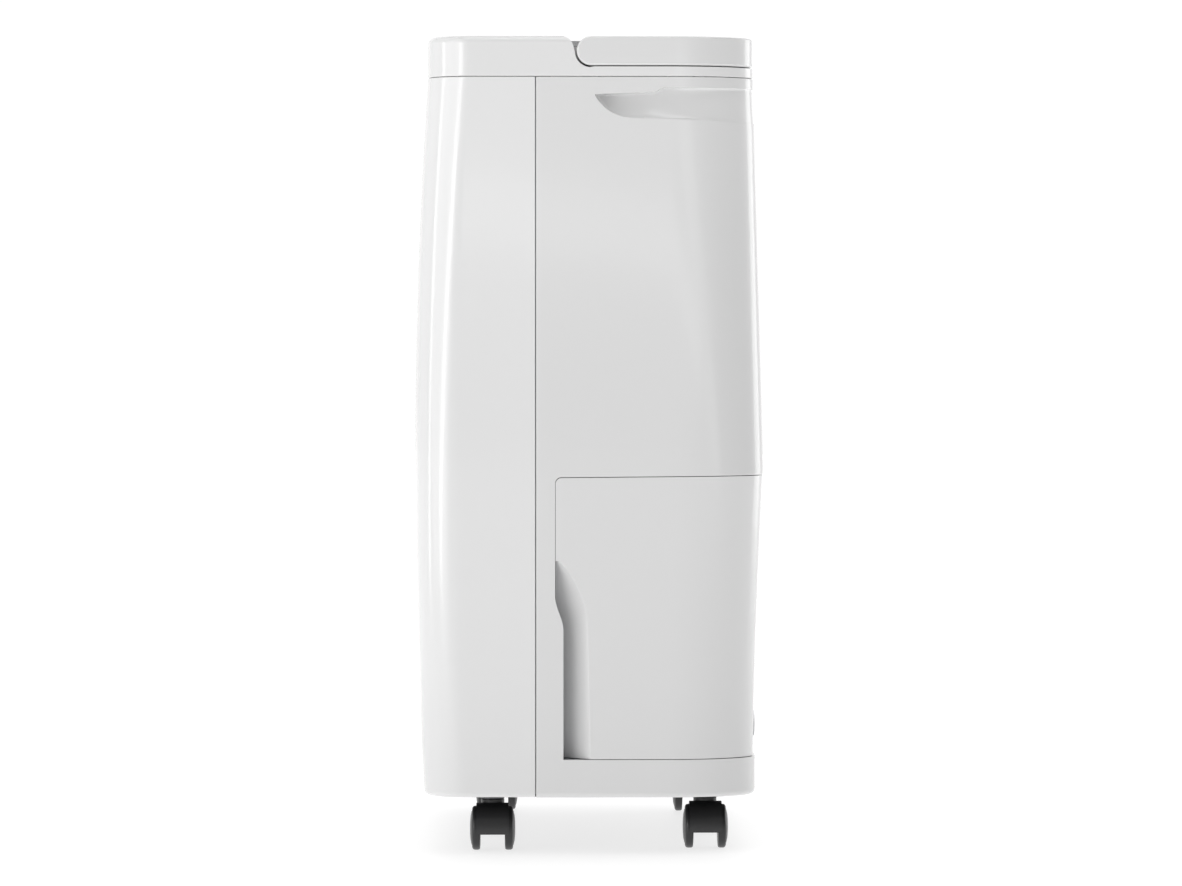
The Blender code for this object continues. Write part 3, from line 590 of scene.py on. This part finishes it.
tankOpening = {"frontY": -25.0, "lowerFrontY": -19.1, "bendTop": 187.0, "bendBottom": 162.0, "bottom": 69.0,
               "top": 272.7, "rear": 200.0, "rise": 1.8, "corner": 4.4}


def openingOutline():
    o = tankOpening
    bend = o["bendTop"] - o["bendBottom"]
    drop = o["lowerFrontY"] - o["frontY"]
    left = []
    for t in spread(0, 1, 13):
        left.append((o["lowerFrontY"] - drop * (0.5 - 0.5 * math.cos(math.pi * t)), o["bendBottom"] + bend * t))
    r = o["corner"]
    corner = arcPoints((o["frontY"] + r, o["top"] - r), (r, r), 180, 92, 8)
    rear, low = o["rear"], o["bottom"]
    return [(o["lowerFrontY"], low), *left, *corner, (rear, o["top"] + o["rise"]), (rear, low)]


def housingSection(z, inset=0.0):
    seam, r = cabinet["seamY"] + cabinet["seamGap"], cover["seamRound"]
    side = cabinet["halfWidth"] - inset
    outer = rearOutline(z, inset, seam)[1:-1]
    lip = arcPoints((side - r, seam + r), (r, r), -90, 0, 4)
    inner = rearOutline(z, inset + cabinet["wall"], seam)
    return atHeight([(-x, y) for x, y in lip] + outer + lip[::-1] + inner[::-1], z)


def buildRearHousing():
    low, high = cabinet["bottom"], cabinet["top"] - 0.4
    between = (low + cover["bottomRound"], 55.0, 69.15, 69.25, *spread(90, 274.9, 12), 275.1,
               *spread(292, high - cover["topRound"], 24))
    levels = shellLevels(low, high, between)
    obj = toObject("rearHousing", sweep([housingSection(z, inset) for z, inset in levels]))
    carve(obj, scoopBody(scoop["wall"], 1.2), "UNION")
    carve(obj, scoopBody(0.0, -5.0))
    carve(obj, sweepAlong("X", openingOutline(), -200, 200))
    carve(obj, block(-intake["half"], intake["half"], 90, 150, intake["low"], intake["high"]))
    carve(obj, rod(gland["hole"], 0, 20, (gland["x"], 110, gland["z"]), "Y", 32))

    def isOpeningEdge(p):
        return onShell(p)[0] < 0.05 and abs(p.y - cabinet["seamY"]) > 2 and 45 < p.z < 560

    soften(obj, 0.5, 40, 2, isOpeningEdge, 0.2, True)
    place(shade(obj, 35, True), "rearHousing", "cabinet", "white_shell", whitePaintedShade, "rear_housing")


def sideBlocks(near, far, *rest):
    # a block at each side, mirrored
    return block(near, far, *rest), block(-far, -near, *rest)


def buildSeamTongue():
    # lips behind the gap between the cover and the housing
    lips = sideBlocks(174.9, 177.4, -46, -32, 44, 560, 0.4)
    place(shade(toObject("tongue", gather(*lips)), 35), "seamTongue", "cabinet", "white_shell", greyTrim)


buildRearHousing()
buildSeamTongue()
print("rear housing built")


# water tank
tank = {"front": -24.7, "bottom": 69.5, "wall": 2.6, "floor": 72.5, "gap": 0.5,
        "edgeCentre": (-73.4, 162.0), "edgeRadius": 72.0, "gripDepth": 18.0, "side": 180.0, "clear": 186.0}


def gripEdge(z):
    cy, cz = tank["edgeCentre"]
    if z <= cz:
        return cy + tank["edgeRadius"] + 0.2 + 2.0 * (cz - z) / (cz - tank["bottom"])
    return cy + 0.2 + math.sqrt(max(0.0, tank["edgeRadius"] ** 2 - (z - cz) ** 2))


def gripBody(side, grow):
    sections = []
    for z in (60.0, 80.0, 110.0, 140.0, *spread(155, 212.5, 30)):
        edge = gripEdge(z) + grow
        width = max(0.5, edge - tank["front"] + 6)
        deep = tank["gripDepth"] * width / 30 + grow
        profile = [(tank["clear"], edge)]
        for t in spread(0, 1, 14):
            profile.append((tank["side"] - deep * math.sin(math.pi / 2 * t), edge - width * t))
        profile.append((tank["clear"], edge - width))
        sections.append([(side * x, y, z) for x, y in profile])
    return sweep(sections)


def buildTank():
    def body(inset, front, levels):
        return sweep([atHeight(rearOutline(min(z, 274.9), inset, front), z) for z in levels])

    obj = toObject("waterTank", body(0.0, -26.0, (tank["bottom"], *spread(74, 274.9, 26), 276)))
    hollow = toObject("hollow", body(tank["wall"], tank["front"] + tank["wall"],
                                     (tank["floor"], *spread(90, 274, 8), 290)))
    for side in (1, -1):
        carve(hollow, gripBody(side, 2.4))
    carve(obj, takenBack(hollow))
    for side in (1, -1):
        carve(obj, gripBody(side, 0.0))
    o = tankOpening
    r, top = o["corner"] - 0.2, o["top"] - tank["gap"]
    face = [(tank["front"], 50.0), *arcPoints((tank["front"] + r, top - r), (r, r), 180, 92, 10),
            (o["rear"], top + o["rise"]), (o["rear"], 50.0)]
    carve(obj, sweepAlong("X", face, -200, 200), "INTERSECT")
    carve(obj, rod(drain["hole"], 0, 30, (drain["x"], 108, drain["z"]), "Y", 32))
    soften(obj, 0.7, 28, 3, lambda p: onShell(p)[0] < 0.05 and p.z > 70.5, 0.2, True)
    place(shade(obj, 35, True), "waterTank", "tank", "white_shell", whitePaintedShade, "water_tank")


buildTank()
print("tank built")


# top collar
collar = {"round": 5.0, "pivotY": 1.0, "pivotZ": 579.15, "pocket": 11.9, "floor": 567.9, "inner": 159.3,
          "pinHole": 3.5, "frontRound": (-21.5, 580.0, 10.0), "above": 605.0, "behind": 140.0,
          "well": (-156.6, 156.6, -112, 94.4, 9.0), "deckSeat": (-159.6, 159.6, -27.0, 99.0, 583.3, 600),
          "lensHole": (-12.2, 12.2, -118, -105, 577.8, 588.2)}


def buildCollar():
    r, top = collar["round"], cabinet["collarTop"]
    steps = [(561.0, 0.5), (561.15, 0.15), (561.5, 0.0), (570.0, 0.0), (580.0, 0.0)]
    steps += [(top - r * (1 - math.sin(a)), r * (1 - math.cos(a))) for a in map(math.radians, spread(0, 84, 9))]
    steps.append((top, r + 0.6))
    obj = toObject("topCollar", sweep([atHeight(wholeOutline(min(z, 575), inset), z) for z, inset in steps]))
    pivot = (collar["pivotY"], collar["pivotZ"])
    floor, above, behind = collar["floor"], collar["above"], collar["behind"]
    y, z, front = collar["frontRound"]
    cutLine = ([(y, above), *arcPoints((y, z), (front, front), 90, 0, 14)]
               + arcPoints(pivot, (collar["pocket"],) * 2, 180, 264, 20)
               + [(3.0, floor), (behind, floor), (behind, above)])
    channel = toObject("channel", sweepAlong("X", cutLine, -190, 190))
    carve(channel, sweepAlong("Z", roundedRectangle(-collar["inner"], collar["inner"], -80, 97, 11.3, 12), 550, 620))
    carve(obj, takenBack(channel))
    carve(obj, sweep([atHeight(wholeOutline(561, 2.5), z) for z in (550, 565.4)]))
    carve(obj, sweepAlong("Z", roundedRectangle(*collar["well"]), 555, 600))
    fore = [(x, min(y, -27.0)) for x, y in wholeOutline(561, 7.0)]
    carve(obj, sweep([atHeight(fore, z) for z in (555, 600)]))
    carve(obj, block(*collar["deckSeat"]))
    for side in (1, -1):
        carve(obj, rod(collar["pinHole"], -10, 10, (side * 158, *pivot), "X"))
    carve(obj, block(*collar["lensHole"]))
    soften(obj, 0.7, 50, 3, lambda p: p.z > 562 and (abs(p.x) > 159 or p.y > 96 or p.y < -100))
    place(shade(obj, 35, True), "topCollar", "cabinet", "white_shell", whiteCollarPaintedHalfShade, "top_collar")


buildCollar()
print("collar built")


# carry handle
handle = {"bottom": 568.7, "top": 589.6, "arm": 160.0, "rear": 98.0, "innerRound": 12.0, "edge": 1.6}


def buildHandle():
    mid, half = (handle["bottom"] + handle["top"]) / 2, (handle["top"] - handle["bottom"]) / 2
    r, arm = handle["innerRound"], handle["arm"]
    outer = rearOutline(575, 0.0, -40)
    bend = handle["rear"] - r
    inner = [(arm, -40.0), *arcPoints((arm - r, bend), (r, r), 0, 90, 16),
             *arcPoints((r - arm, bend), (r, r), 90, 180, 16), (-arm, -40.0)]
    obj = toObject("carryHandle", sweepAlong("Z", outer + inner, handle["bottom"], handle["top"]))
    pivotY = collar["pivotY"]
    # the ends of the arc stand a hair proud, so that the cut leaves no sliver
    arc = [(pivotY, mid - half - 0.002), *arcPoints((pivotY, mid), (half, half), 270, 90, 36)[1:-1],
           (pivotY, mid + half + 0.002)]
    side = [*arc, (130.0, mid + half + 0.5), (130.0, mid - half - 0.5)]
    carve(obj, sweepAlong("X", side, -190, 190), "INTERSECT")
    for s, low, high in ((1, -10, 6), (-1, -6, 10)):
        carve(obj, rod(collar["pinHole"], low, high, (s * 166, pivotY, mid), "X"))
    soften(obj, handle["edge"], 40, 4, lambda p: math.hypot(p.y - pivotY, p.z - mid) > 5)
    place(shade(obj, 35), "carryHandle", "handle", "white_shell", whitePaintedShade, "carry_handle")


buildHandle()
print("handle built")


# casters
casters = {"front_right": (133.5, -70.5, 1), "front_left": (-133.5, -70.5, -1), "rear_right": (121.5, 85.0, 1),
           "rear_left": (-121.5, 85.0, -1)}
# profiles are (radius, distance along the axis)
caster = {
    "wheel": 16.0, "trail": 8.0, "track": 8.9, "hoodOuter": 18.3, "hoodInner": 16.8, "hoodHalf": 11.8,
    "webOuter": 17.5, "webInner": (9.0, 3.8), "webHalf": 8.4, "boss": (8.5, 26, 36.3), "axle": (2.4, 12.3),
    "wheelProfile": [(0, 4.0), (2.7, 4.0), (2.7, 0.3), (3.0, 0.0), (12.6, 0.0), (15.2, 0.25), (15.75, 0.8),
                     (16.0, 1.7), (16.0, 4.0), (15.8, 4.9), (15.2, 5.6), (14.3, 6.0), (13.9, 5.75), (13.4, 5.8),
                     (12.0, 6.5), (9.0, 7.2), (5.0, 7.55), (0, 7.6)],
    "stemProfile": [(0, 36.6), (8.1, 36.6), (8.5, 37.0), (8.5, 40.8), (8.1, 41.2), (4.2, 41.2), (4.2, 51), (5.2, 52),
                    (4.2, 54), (0, 54)],
}


def buildCaster(label, x, y, sense):
    c = caster
    ax, az = x + c["trail"] * sense, c["wheel"]
    for side, way in (("rear", 1), ("front", -1)):
        bm = lathe([(r, way * t) for r, t in c["wheelProfile"]], (ax, y + way * c["track"], az), "Y", 56)
        wheel = shade(toObject("wheel", bm), 40)
        place(wheel, f"casterWheel_{label}_{side}", f"wheel_{label}_{side}", "black_plastic", blackSatin,
              f"caster_wheel_{label}_{side}")
    outer, inner = (c["hoodOuter"],) * 2, (c["hoodInner"],) * 2
    arch = arcPoints((ax, az), outer, -10, 190, 40) + arcPoints((ax, az), inner, 190, -10, 40)
    hood = toObject("hood", sweepAlong("Y", arch, y - c["hoodHalf"], y + c["hoodHalf"]))
    web = (arcPoints((ax, az), (c["webOuter"],) * 2, -10, 190, 40)
           + arcPoints((ax, az), c["webInner"], 200, 340, 14))
    carve(hood, sweepAlong("Y", web, y - c["webHalf"], y + c["webHalf"]), "UNION")
    carve(hood, rod(*c["boss"], (x, y, 0), "Z", 40), "UNION")
    radius, reach = c["axle"]
    carve(hood, rod(radius, -reach, reach, (ax, y, az), "Y", 20), "UNION")
    soften(hood, 0.8, 45, 3, lambda p: p.z < 36 and math.hypot(p.x - ax, p.z - az) > 9)
    place(shade(hood, 40), f"casterHood_{label}", f"caster_{label}", "black_plastic", blackSatin,
          f"caster_hood_{label}")
    stem = shade(toObject("stem", lathe(c["stemProfile"], (x, y, 0), "Z", 40)), 40)
    place(stem, f"casterStem_{label}", f"caster_{label}", "bright_steel", blackSteel, f"caster_stem_{label}")


for label, (x, y, sense) in casters.items():
    buildCaster(label, x, y, sense)
print("casters built")


def placeRefined(node, body, slot, finish, width, angle=50.0, steps=2, settle=0.2):
    # a rounded copy of a CAD node's shape, named after it
    obj = linked(node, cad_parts[node].data.copy())
    first, *others = node.split("_")
    shade(soften(obj, width, angle, steps, None, settle), 35)
    place(obj, first + "".join(word.capitalize() for word in others), body, slot, finish, node)


def turnedPiece(profile, centre, axis="Z", steps=48, angle=38.0):
    return shade(toObject("turned", lathe(profile, centre, axis, steps)), angle)


# deck, control panel, buttons and lenses
placeRefined("top_deck", "cabinet", "grey_trim", deckGrey, 0.6)
placeRefined("control_panel", "cabinet", "smoked_panel", smoked, 0.7, 50, 3)
placeRefined("display_lens", "cabinet", "smoked_panel", lens, 0.3, 40)
placeRefined("status_lens", "cabinet", "smoked_panel", lens, 0.8, 40, 3)

button = {
    "y": -62.5, "base": 580.9, "icon": (7.1, 7.42), "line": 0.62,
    "places": {"power": -84.0, "humidity": -56.0, "timer": -28.0, "fan_speed": 56.0, "swing": 84.0},
    "profile": [(0, 0), (9.5, 0), (9.6, 0.2), (9.6, 1.2), (9.5, 1.4), (8.0, 1.4), (8.0, 6.7), (7.85, 7.3), (7.4, 7.7),
                (6.9, 7.78), (6.2, 7.6), (4.5, 7.36), (2.5, 7.24), (0, 7.2)],
}


def stroke(points, width, low, high):
    # flat ribbon along a line of points
    left, right = [], []
    for i, (x, y) in enumerate(points):
        (ax, ay), (bx, by) = points[max(0, i - 1)], points[min(len(points) - 1, i + 1)]
        length = math.hypot(bx - ax, by - ay)
        nx, ny = (ay - by) / length * width / 2, (bx - ax) / length * width / 2
        left.append((x + nx, y + ny))
        right.append((x - nx, y - ny))
    return sweepAlong("Z", left + right[::-1], low, high)


def petal(turn, reach, half):
    # curved fan blade pointing outwards
    out = [(reach * t, half * math.sin(math.pi * t) * (0.4 + 0.6 * t)) for t in spread(0.12, 1.0, 9)]
    back = [(u, -0.35 * v) for u, v in reversed(out)][1:-1]
    a = math.radians(turn)
    return [(u * math.cos(a) - v * math.sin(a), u * math.sin(a) + v * math.cos(a)) for u, v in out + back]


def iconLines(kind):
    if kind == "power":
        return [arcPoints((0, 0), (3.0, 3.0), 125, 415, 24), [(0, 1.0), (0, 3.9)]]
    if kind == "timer":
        return [arcPoints((0, 0), (3.2, 3.2), 0, 352, 28), [(0, 0), (0, 2.1)], [(0, 0), (1.6, -0.8)]]
    if kind == "humidity":
        return [[(0, 3.8), (-1.5, 1.4), *arcPoints((0, -0.9), (2.5, 2.4), 160, 380, 16), (1.5, 1.4), (0, 3.8)]]
    if kind == "swing":
        return [[(-3, -2.4), (3, -0.9)], [(-3, 0.0), (3, 1.5)], arcPoints((-1, 0), (4.6, 4.6), 48, 84, 8)]
    return [arcPoints((0, 0), (0.8, 0.8), 0, 350, 10)]


def buildButtons():
    for kind, x in button["places"].items():
        cap = turnedPiece(button["profile"], (x, button["y"], button["base"]), "Z", 56)
        place(cap, "buttonCap_" + kind, "button_" + kind, "grey_trim", buttonGrey, "button_" + kind)
        low, high = (button["base"] + rise for rise in button["icon"])
        parts = [stroke(line, button["line"], low, high) for line in iconLines(kind)]
        if kind == "fan_speed":
            parts += [sweepAlong("Z", petal(turn, 3.9, 1.35), low, high) for turn in (90, 210, 330)]
        icon = gather(*parts)
        bmesh.ops.translate(icon, vec=(x, button["y"], 0), verts=icon.verts)
        place(shade(toObject("icon", icon), 30), "buttonIcon_" + kind, "button_" + kind, "grey_trim", iconInk)


buildButtons()

display = {"low": 587.6, "high": 587.82, "digit": (7.2, 14.0), "segment": 1.5, "first": -1.5, "step": 11.5,
           "y": -62.5, "shown": ("5", "0")}
segments = {"0": "abcdef", "5": "afgcd"}


def segmentShape(key, w, h, t):
    # one bar of a seven-bar numeral, with pointed ends
    g = 0.25
    level = {"a": h / 2, "g": 0, "d": -h / 2, "f": h / 4, "b": h / 4, "e": -h / 4, "c": -h / 4}[key]
    if key in "agd":
        long = w / 2 - g
        bar = ((-long, 0), (-long + t / 2, -t / 2), (long - t / 2, -t / 2), (long, 0), (long - t / 2, t / 2),
               (-long + t / 2, t / 2))
        return [(u, level + v) for u, v in bar]
    x, long = (w / 2 if key in "bc" else -w / 2), h / 4 - g
    bar = ((0, -long), (t / 2, -long + t / 2), (t / 2, long - t / 2), (0, long), (-t / 2, long - t / 2),
           (-t / 2, -long + t / 2))
    return [(x + u, level + v) for u, v in bar]


def buildDisplay():
    w, h = display["digit"]
    low, high, y = display["low"], display["high"], display["y"]
    lit, dark = [], []
    for i, figure in enumerate(display["shown"]):
        for key in "abcdefg":
            left = display["first"] + display["step"] * i
            shape = [(u + left, v + y) for u, v in segmentShape(key, w, h, display["segment"])]
            bars = lit if key in segments[figure] else dark
            bars.append(sweepAlong("Z", shape, low, high))
    # percent sign
    ring = arcPoints((25.5, y + 3.4), (1.7, 1.7), 0, 350, 16)
    lit += [stroke(ring, 0.7, low, high), stroke([(26.0, y - 6.4), (32.0, y + 6.4)], 0.9, low, high),
            stroke([(u + 7.0, v - 6.8) for u, v in ring], 0.7, low, high)]
    place(shade(toObject("lit", gather(*lit)), 30), "displayFigures", "cabinet", "smoked_panel", figureGlow)
    place(shade(toObject("dark", gather(*dark)), 30), "displayUnlit", "cabinet", "smoked_panel", figureDark)


buildDisplay()
print("deck and controls built")


# louver and outlet
placeRefined("louver_flap", "louver", "grey_trim", deckGrey, 0.5)
placeRefined("outlet_grille", "cabinet", "black_plastic", blackPlain, 0.8)

# intake side
placeRefined("intake_grille", "intake", "white_shell", whitePaintedShade, 1.0, 50, 3, 0.05)
placeRefined("filter_frame", "intake", "grey_trim", greyTrim, 0.8)

# tank fittings
placeRefined("tank_lid", "tank", "grey_trim", greyTrim, 0.6)
placeRefined("tank_float", "float", "float_foam", foam, 1.2, 50, 3)
placeRefined("tank_bay", "cabinet", "grey_trim", greyTrim, 0.3, 60)
placeRefined("level_switch", "cabinet", "black_plastic", blackPlain, 0.6)
placeRefined("base_pan", "cabinet", "black_plastic", blackPlain, 0.8)


def around(count, radius, x, z, start=0.0):
    # places evenly round a circle
    turns = [2 * math.pi * (i + start) / count for i in range(count)]
    return [(x + radius * math.cos(a), z + radius * math.sin(a)) for a in turns]


def buildDrainCap():
    # screw cap with a coin slot and notches round its rim
    x, z = drain["x"], drain["z"]
    profile = [(0, 0), (6.0, 0), (6.0, 4.2), (10.7, 4.2), (11.0, 4.5), (11.0, 5.9), (10.6, 6.7), (9.8, 7.25),
               (8.8, 7.4), (0, 7.4)]
    cap = toObject("cap", lathe(profile, (x, drain["y"], z), "Y", 64))
    carve(cap, block(x - 7.5, x + 7.5, 121.4, 125, z - 1.4, z + 1.4, 0.5))
    for u, v in around(18, 11.4, x, z):
        carve(cap, rod(0.8, -1, 9, (u, 120.2, v), "Y", 10))
    soften(cap, 0.15, 50, 1)
    place(shade(cap, 40), "drainCap", "tank", "grey_trim", greyTrim, "drain_cap")


def buildGland():
    x, z = gland["x"], gland["z"]
    profile = [(0, -8), (5.9, -8), (5.9, 0.6), (8.0, 0.6), (8.2, 0.8), (8.2, 3.2), (7.9, 3.9), (7.0, 4.6), (6.2, 5.1),
               (4.4, 5.2), (4.1, 4.9), (3.8, 1.6), (0, 1.4)]
    nut = toObject("nut", lathe(profile, (x, gland["y"], z), "Y", 48))
    for u, v in around(6, 8.4, x, z, 0.5):
        carve(nut, rod(1.1, -1, 6, (u, 121.4, v), "Y", 12))
    place(shade(nut, 40), "cordGland", "cabinet", "black_plastic", blackPlain, "cord_gland")


def buildPins():
    for side, label in ((1, "right"), (-1, "left")):
        profile = [(0, 0), (4.0, 0), (4.3, 0.3), (4.3, 2.2), (4.0, 2.5), (3.2, 2.5), (3.2, 18.1), (2.8, 18.5),
                   (0, 18.5)]
        centre = (side * 153.8, collar["pivotY"], collar["pivotZ"])
        pin = turnedPiece([(r, side * t) for r, t in profile], centre, "X", 40)
        place(pin, "handlePin_" + label, "cabinet", "bright_steel", steel, "handle_pin_" + label)


buildDrainCap()
buildGland()
buildPins()
print("tank and rear fittings built")


# machinery seen through the grilles
compressor = {
    "centre": (-60, -72), "plate": 43, "footCircle": 34, "feet": {"a": 30, "b": 150, "c": 270},
    "profile": [(0, 60), (29, 60), (33, 61.5), (36.5, 65), (39, 70), (40, 76), (40, 145.6), (41.6, 146.8),
                (42.5, 148.2), (42.5, 151.8), (41.6, 153.2), (40, 154.4), (40, 206), (39.4, 212), (37.4, 218.5),
                (33.6, 224.6), (27.6, 229.4), (19, 232.6), (9, 233.8), (0, 234)],
    "footProfile": [(0, 47.3), (7.6, 47.3), (8, 47.8), (8, 50.2), (7.0, 51.2), (7.0, 52.4), (8, 53.4), (8, 56.2),
                    (7.6, 56.7), (3.1, 56.7), (3.1, 60.2), (2.8, 60.6), (0, 60.6)],
}


def buildCompressor():
    c = compressor
    (x, y), r = c["centre"], c["footCircle"]
    turns = {label: math.radians(turn) for label, turn in c["feet"].items()}
    places = {label: (x + r * math.cos(a), y + r * math.sin(a), 0) for label, a in turns.items()}
    obj = toObject("compressor", lathe(c["profile"], (x, y, 0), "Z", 72))
    # three-cornered foot plate
    carve(obj, sweepAlong("Z", arcPoints((x, y), (c["plate"],) * 2, 30, 270, 2), 57.0, 61.0), "UNION")
    for centre in places.values():
        carve(obj, rod(3.4, 50, 64, centre))
    place(shade(obj, 30), "compressorShell", "cabinet", "compressor_enamel", enamel, "compressor")
    for label, centre in places.items():
        foot = turnedPiece(c["footProfile"], centre, "Z", 32)
        place(foot, "rubberFoot_" + label, "cabinet", "mount_rubber", rubber, "grommet_" + label)


coil = {"low": 300.0, "high": 500.0, "half": 119.0, "pitch": 2.2, "fin": 0.3, "end": (120.2, 121.2), "tube": 3.6,
        "tubeHalf": 121.5, "row": 25.0, "rows": 8}


def tubeBend(side, y, low, high):
    # half ring that joins two tubes at the end of the fins
    bm = bmesh.new()
    middle, x = (low + high) / 2, side * (coil["half"] + 1.0)
    ring = bmesh.ops.create_circle(bm, radius=coil["tube"], segments=12,
                                   matrix=Matrix.Translation((x, y, high)) @ Matrix.Rotation(math.pi / 2, 4, "Y"))
    bmesh.ops.spin(bm, geom=ring["verts"] + bm.edges[:], cent=(x, y, middle), axis=(0, side, 0), dvec=(0, 0, 0),
                   angle=math.pi, steps=12, use_duplicate=False)
    bmesh.ops.scale(bm, vec=(0.45, 1, 1), space=Matrix.Translation((-x, -y, -middle)), verts=bm.verts)
    bmesh.ops.recalc_face_normals(bm, faces=bm.faces)
    return bm


def buildCoil(node, y0, y1):
    c = coil
    finCount = int(2 * c["half"] / c["pitch"]) + 1
    half, box = c["fin"] / 2, (y0, y1, c["low"], c["high"])
    plates = [block(x - half, x + half, *box) for x in spread(-c["half"], c["half"], finCount)]
    ends = sideBlocks(*c["end"], *box, 0.2)
    place(shade(toObject(node, gather(*plates, *ends)), 35), node + "Fins", "cabinet", "coil_fins", fins, node)
    y, rows = (y0 + y1) / 2, [c["low"] + c["row"] * (i + 0.5) for i in range(c["rows"])]
    tubes = [rod(c["tube"], -c["tubeHalf"], c["tubeHalf"], (0, y, z), "X", 16) for z in rows]
    # the bends take alternate sides, so that the rows make one long tube
    tubes += [tubeBend(1 if i % 2 else -1, y, rows[i], rows[i + 1]) for i in range(c["rows"] - 1)]
    place(shade(toObject(node, gather(*tubes)), 35), node + "Tubes", "cabinet", "copper_pipe", copper)


buildCoil("evaporator", 86.0, 103.0)
buildCoil("condenser", 62.0, 79.0)
buildCompressor()
print("machinery built")


# finishes for the CAD shapes that show as they are
carried = {
    blackPlain: ("fan_wheel",), greyTrim: ("fan_casing", "drip_tray"), copper: ("discharge_pipe", "suction_pipe"),
    steel: ("fan_shaft", "fan_motor", "louver_motor"), board: ("control_board",), net: ("filter_mesh",),
    zinc: ("run_capacitor",),
}
for finish, nodes in carried.items():
    for node in nodes:
        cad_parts[node].data.materials.clear()
        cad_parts[node].data.materials.append(finish)
print("finishes set")


# floor, lights and camera
studio = {
    "camera": (3.339, -0.0323, 0.3643), "aim": (0.180, 0.0008, 0.2974), "lens": 133.8,
    # brightness of the room, with the directions where one level gives way to the next
    "front": 0.27, "sky": 0.3, "back": 1.03, "sides": 0.80, "dip": 0.24, "backSoft": 0.4,
    "turnToBack": (0.12, -0.12), "sidesToBack": (-0.6, -0.85),
    "floorNear": 0.76, "floorFar": 1.16, "floorFade": (0.6, 1.5), "floorSize": 12.0, "aimHeight": 0.32,
    "boxes": [  # name, turn, distance, height, size, brightness, and whether it is seen in reflections only
        ("stripA", -75, 2.9, 0.55, (0.26, 1.9), 4.2, True),
        ("stripB", -33, 2.9, 0.55, (0.26, 1.9), 4.2, True),
        ("panel", -50, 3.0, 0.60, (2.3, 1.9), 1.5),
        ("high", -40, 1.6, 1.7, (1.0, 0.5), 2.1),
        ("faintA", 7.4, 3.9, 0.5, (0.12, 1.9), 2.4, True),
        ("faintB", 22.5, 3.6, 0.5, (0.24, 1.9), 1.3, True),
        ("rearEdge", 112, 3.0, 0.6, (1.3, 1.9), 2.4),
        ("top", 30, 0.6, 2.6, (1.6, 1.6), 1.5),
    ],
}


def buildStage():
    bm = bmesh.new()
    bmesh.ops.create_grid(bm, x_segments=1, y_segments=1, size=1.0)
    bmesh.ops.scale(bm, vec=(studio["floorSize"], studio["floorSize"], 1.0), verts=bm.verts)
    mesh = bpy.data.meshes.new("floor")
    bm.to_mesh(mesh)
    bm.free()
    floor = linked("floor", mesh)
    f = Finish("paleFloor", Roughness=0.6)
    f.shader.inputs["Emission Strength"].default_value = 1.0
    away = f.node("ShaderNodeVectorMath", {"operation": "LENGTH"}, {0: f.place}, 1)
    far = f.fade(away, *studio["floorFade"], 0.0, 1.0)
    grey = (1, 1, 1)
    f.feed(Emission_Color=f.blendColours(far, tinted(grey, studio["floorNear"]), tinted(grey, studio["floorFar"])),
           Base_Color=f.blendColours(f.noise(3.0), (0.29, 0.29, 0.29, 1), (0.31, 0.31, 0.31, 1)))
    floor.data.materials.append(f.material)


def softbox(name, turn, distance, height, size, glow, glossOnly=False):
    # turn in degrees from +X towards +Y, glow is the brightness of its face
    light = bpy.data.lights.new(name, "AREA")
    light.shape, light.size, light.size_y = "RECTANGLE", *size
    light.energy = glow * math.pi * size[0] * size[1]
    obj = linked(name, light)
    a = math.radians(turn)
    obj.location = (distance * math.cos(a), distance * math.sin(a), height)
    way = Vector((0, 0, studio["aimHeight"])) - Vector(obj.location)
    obj.rotation_euler = way.to_track_quat("-Z", "Z").to_euler()
    obj.visible_camera, obj.visible_diffuse = False, not glossOnly


def buildCamera():
    camera = linked("camera", bpy.data.cameras.new("camera"))
    camera.data.lens = studio["lens"]
    camera.data.sensor_width = 36.0
    camera.location = studio["camera"]
    way = Vector(studio["aim"]) - Vector(studio["camera"])
    camera.rotation_euler = way.to_track_quat("-Z", "Y").to_euler()
    bpy.context.scene.camera = camera


def buildWorld():
    # a white room, dimmer on the camera's side and dimmest towards +X +Y; the camera sees only white
    world = bpy.data.worlds.new("studio")
    world.use_nodes = True
    tree = world.node_tree
    where = tree.nodes.new("ShaderNodeTexCoord")
    split = tree.nodes.new("ShaderNodeSeparateXYZ")
    tree.links.new(where.outputs["Generated"], split.inputs[0])
    maker = Finish.__new__(Finish)
    maker.tree = tree
    x, y, z = (Value(maker, split.outputs[i]) for i in range(3))
    back = maker.fade(x, *studio["turnToBack"], 0.0, 1.0)
    behind = maker.fade(x, *studio["sidesToBack"], studio["sides"], studio["back"])
    side = maker.node("ShaderNodeMath", {"operation": "MAXIMUM"}, {0: x * 0.6 + y * 0.8, 1: 0.0})
    front = studio["front"] - side * side * studio["dip"]
    rays = tree.nodes.new("ShaderNodeLightPath")
    seen, soft = Value(maker, rays.outputs["Is Camera Ray"]), Value(maker, rays.outputs["Is Diffuse Ray"])
    room = front + back * (behind * (1 - soft * studio["backSoft"]) - front)
    up = maker.node("ShaderNodeMath", {"operation": "MAXIMUM"}, {0: z, 1: 0.0})
    room = room + up * up * studio["sky"]
    level = room + seen * (studio["back"] - room)
    glow = tree.nodes["Background"]
    glow.inputs[0].default_value = (1, 1, 1, 1)
    tree.links.new(level.socket, glow.inputs[1])
    bpy.context.scene.world = world


buildWorld()
buildStage()
buildCamera()
for row in studio["boxes"]:
    softbox(*row)
bpy.context.scene.view_settings.view_transform = "Standard"
print("stage ready")
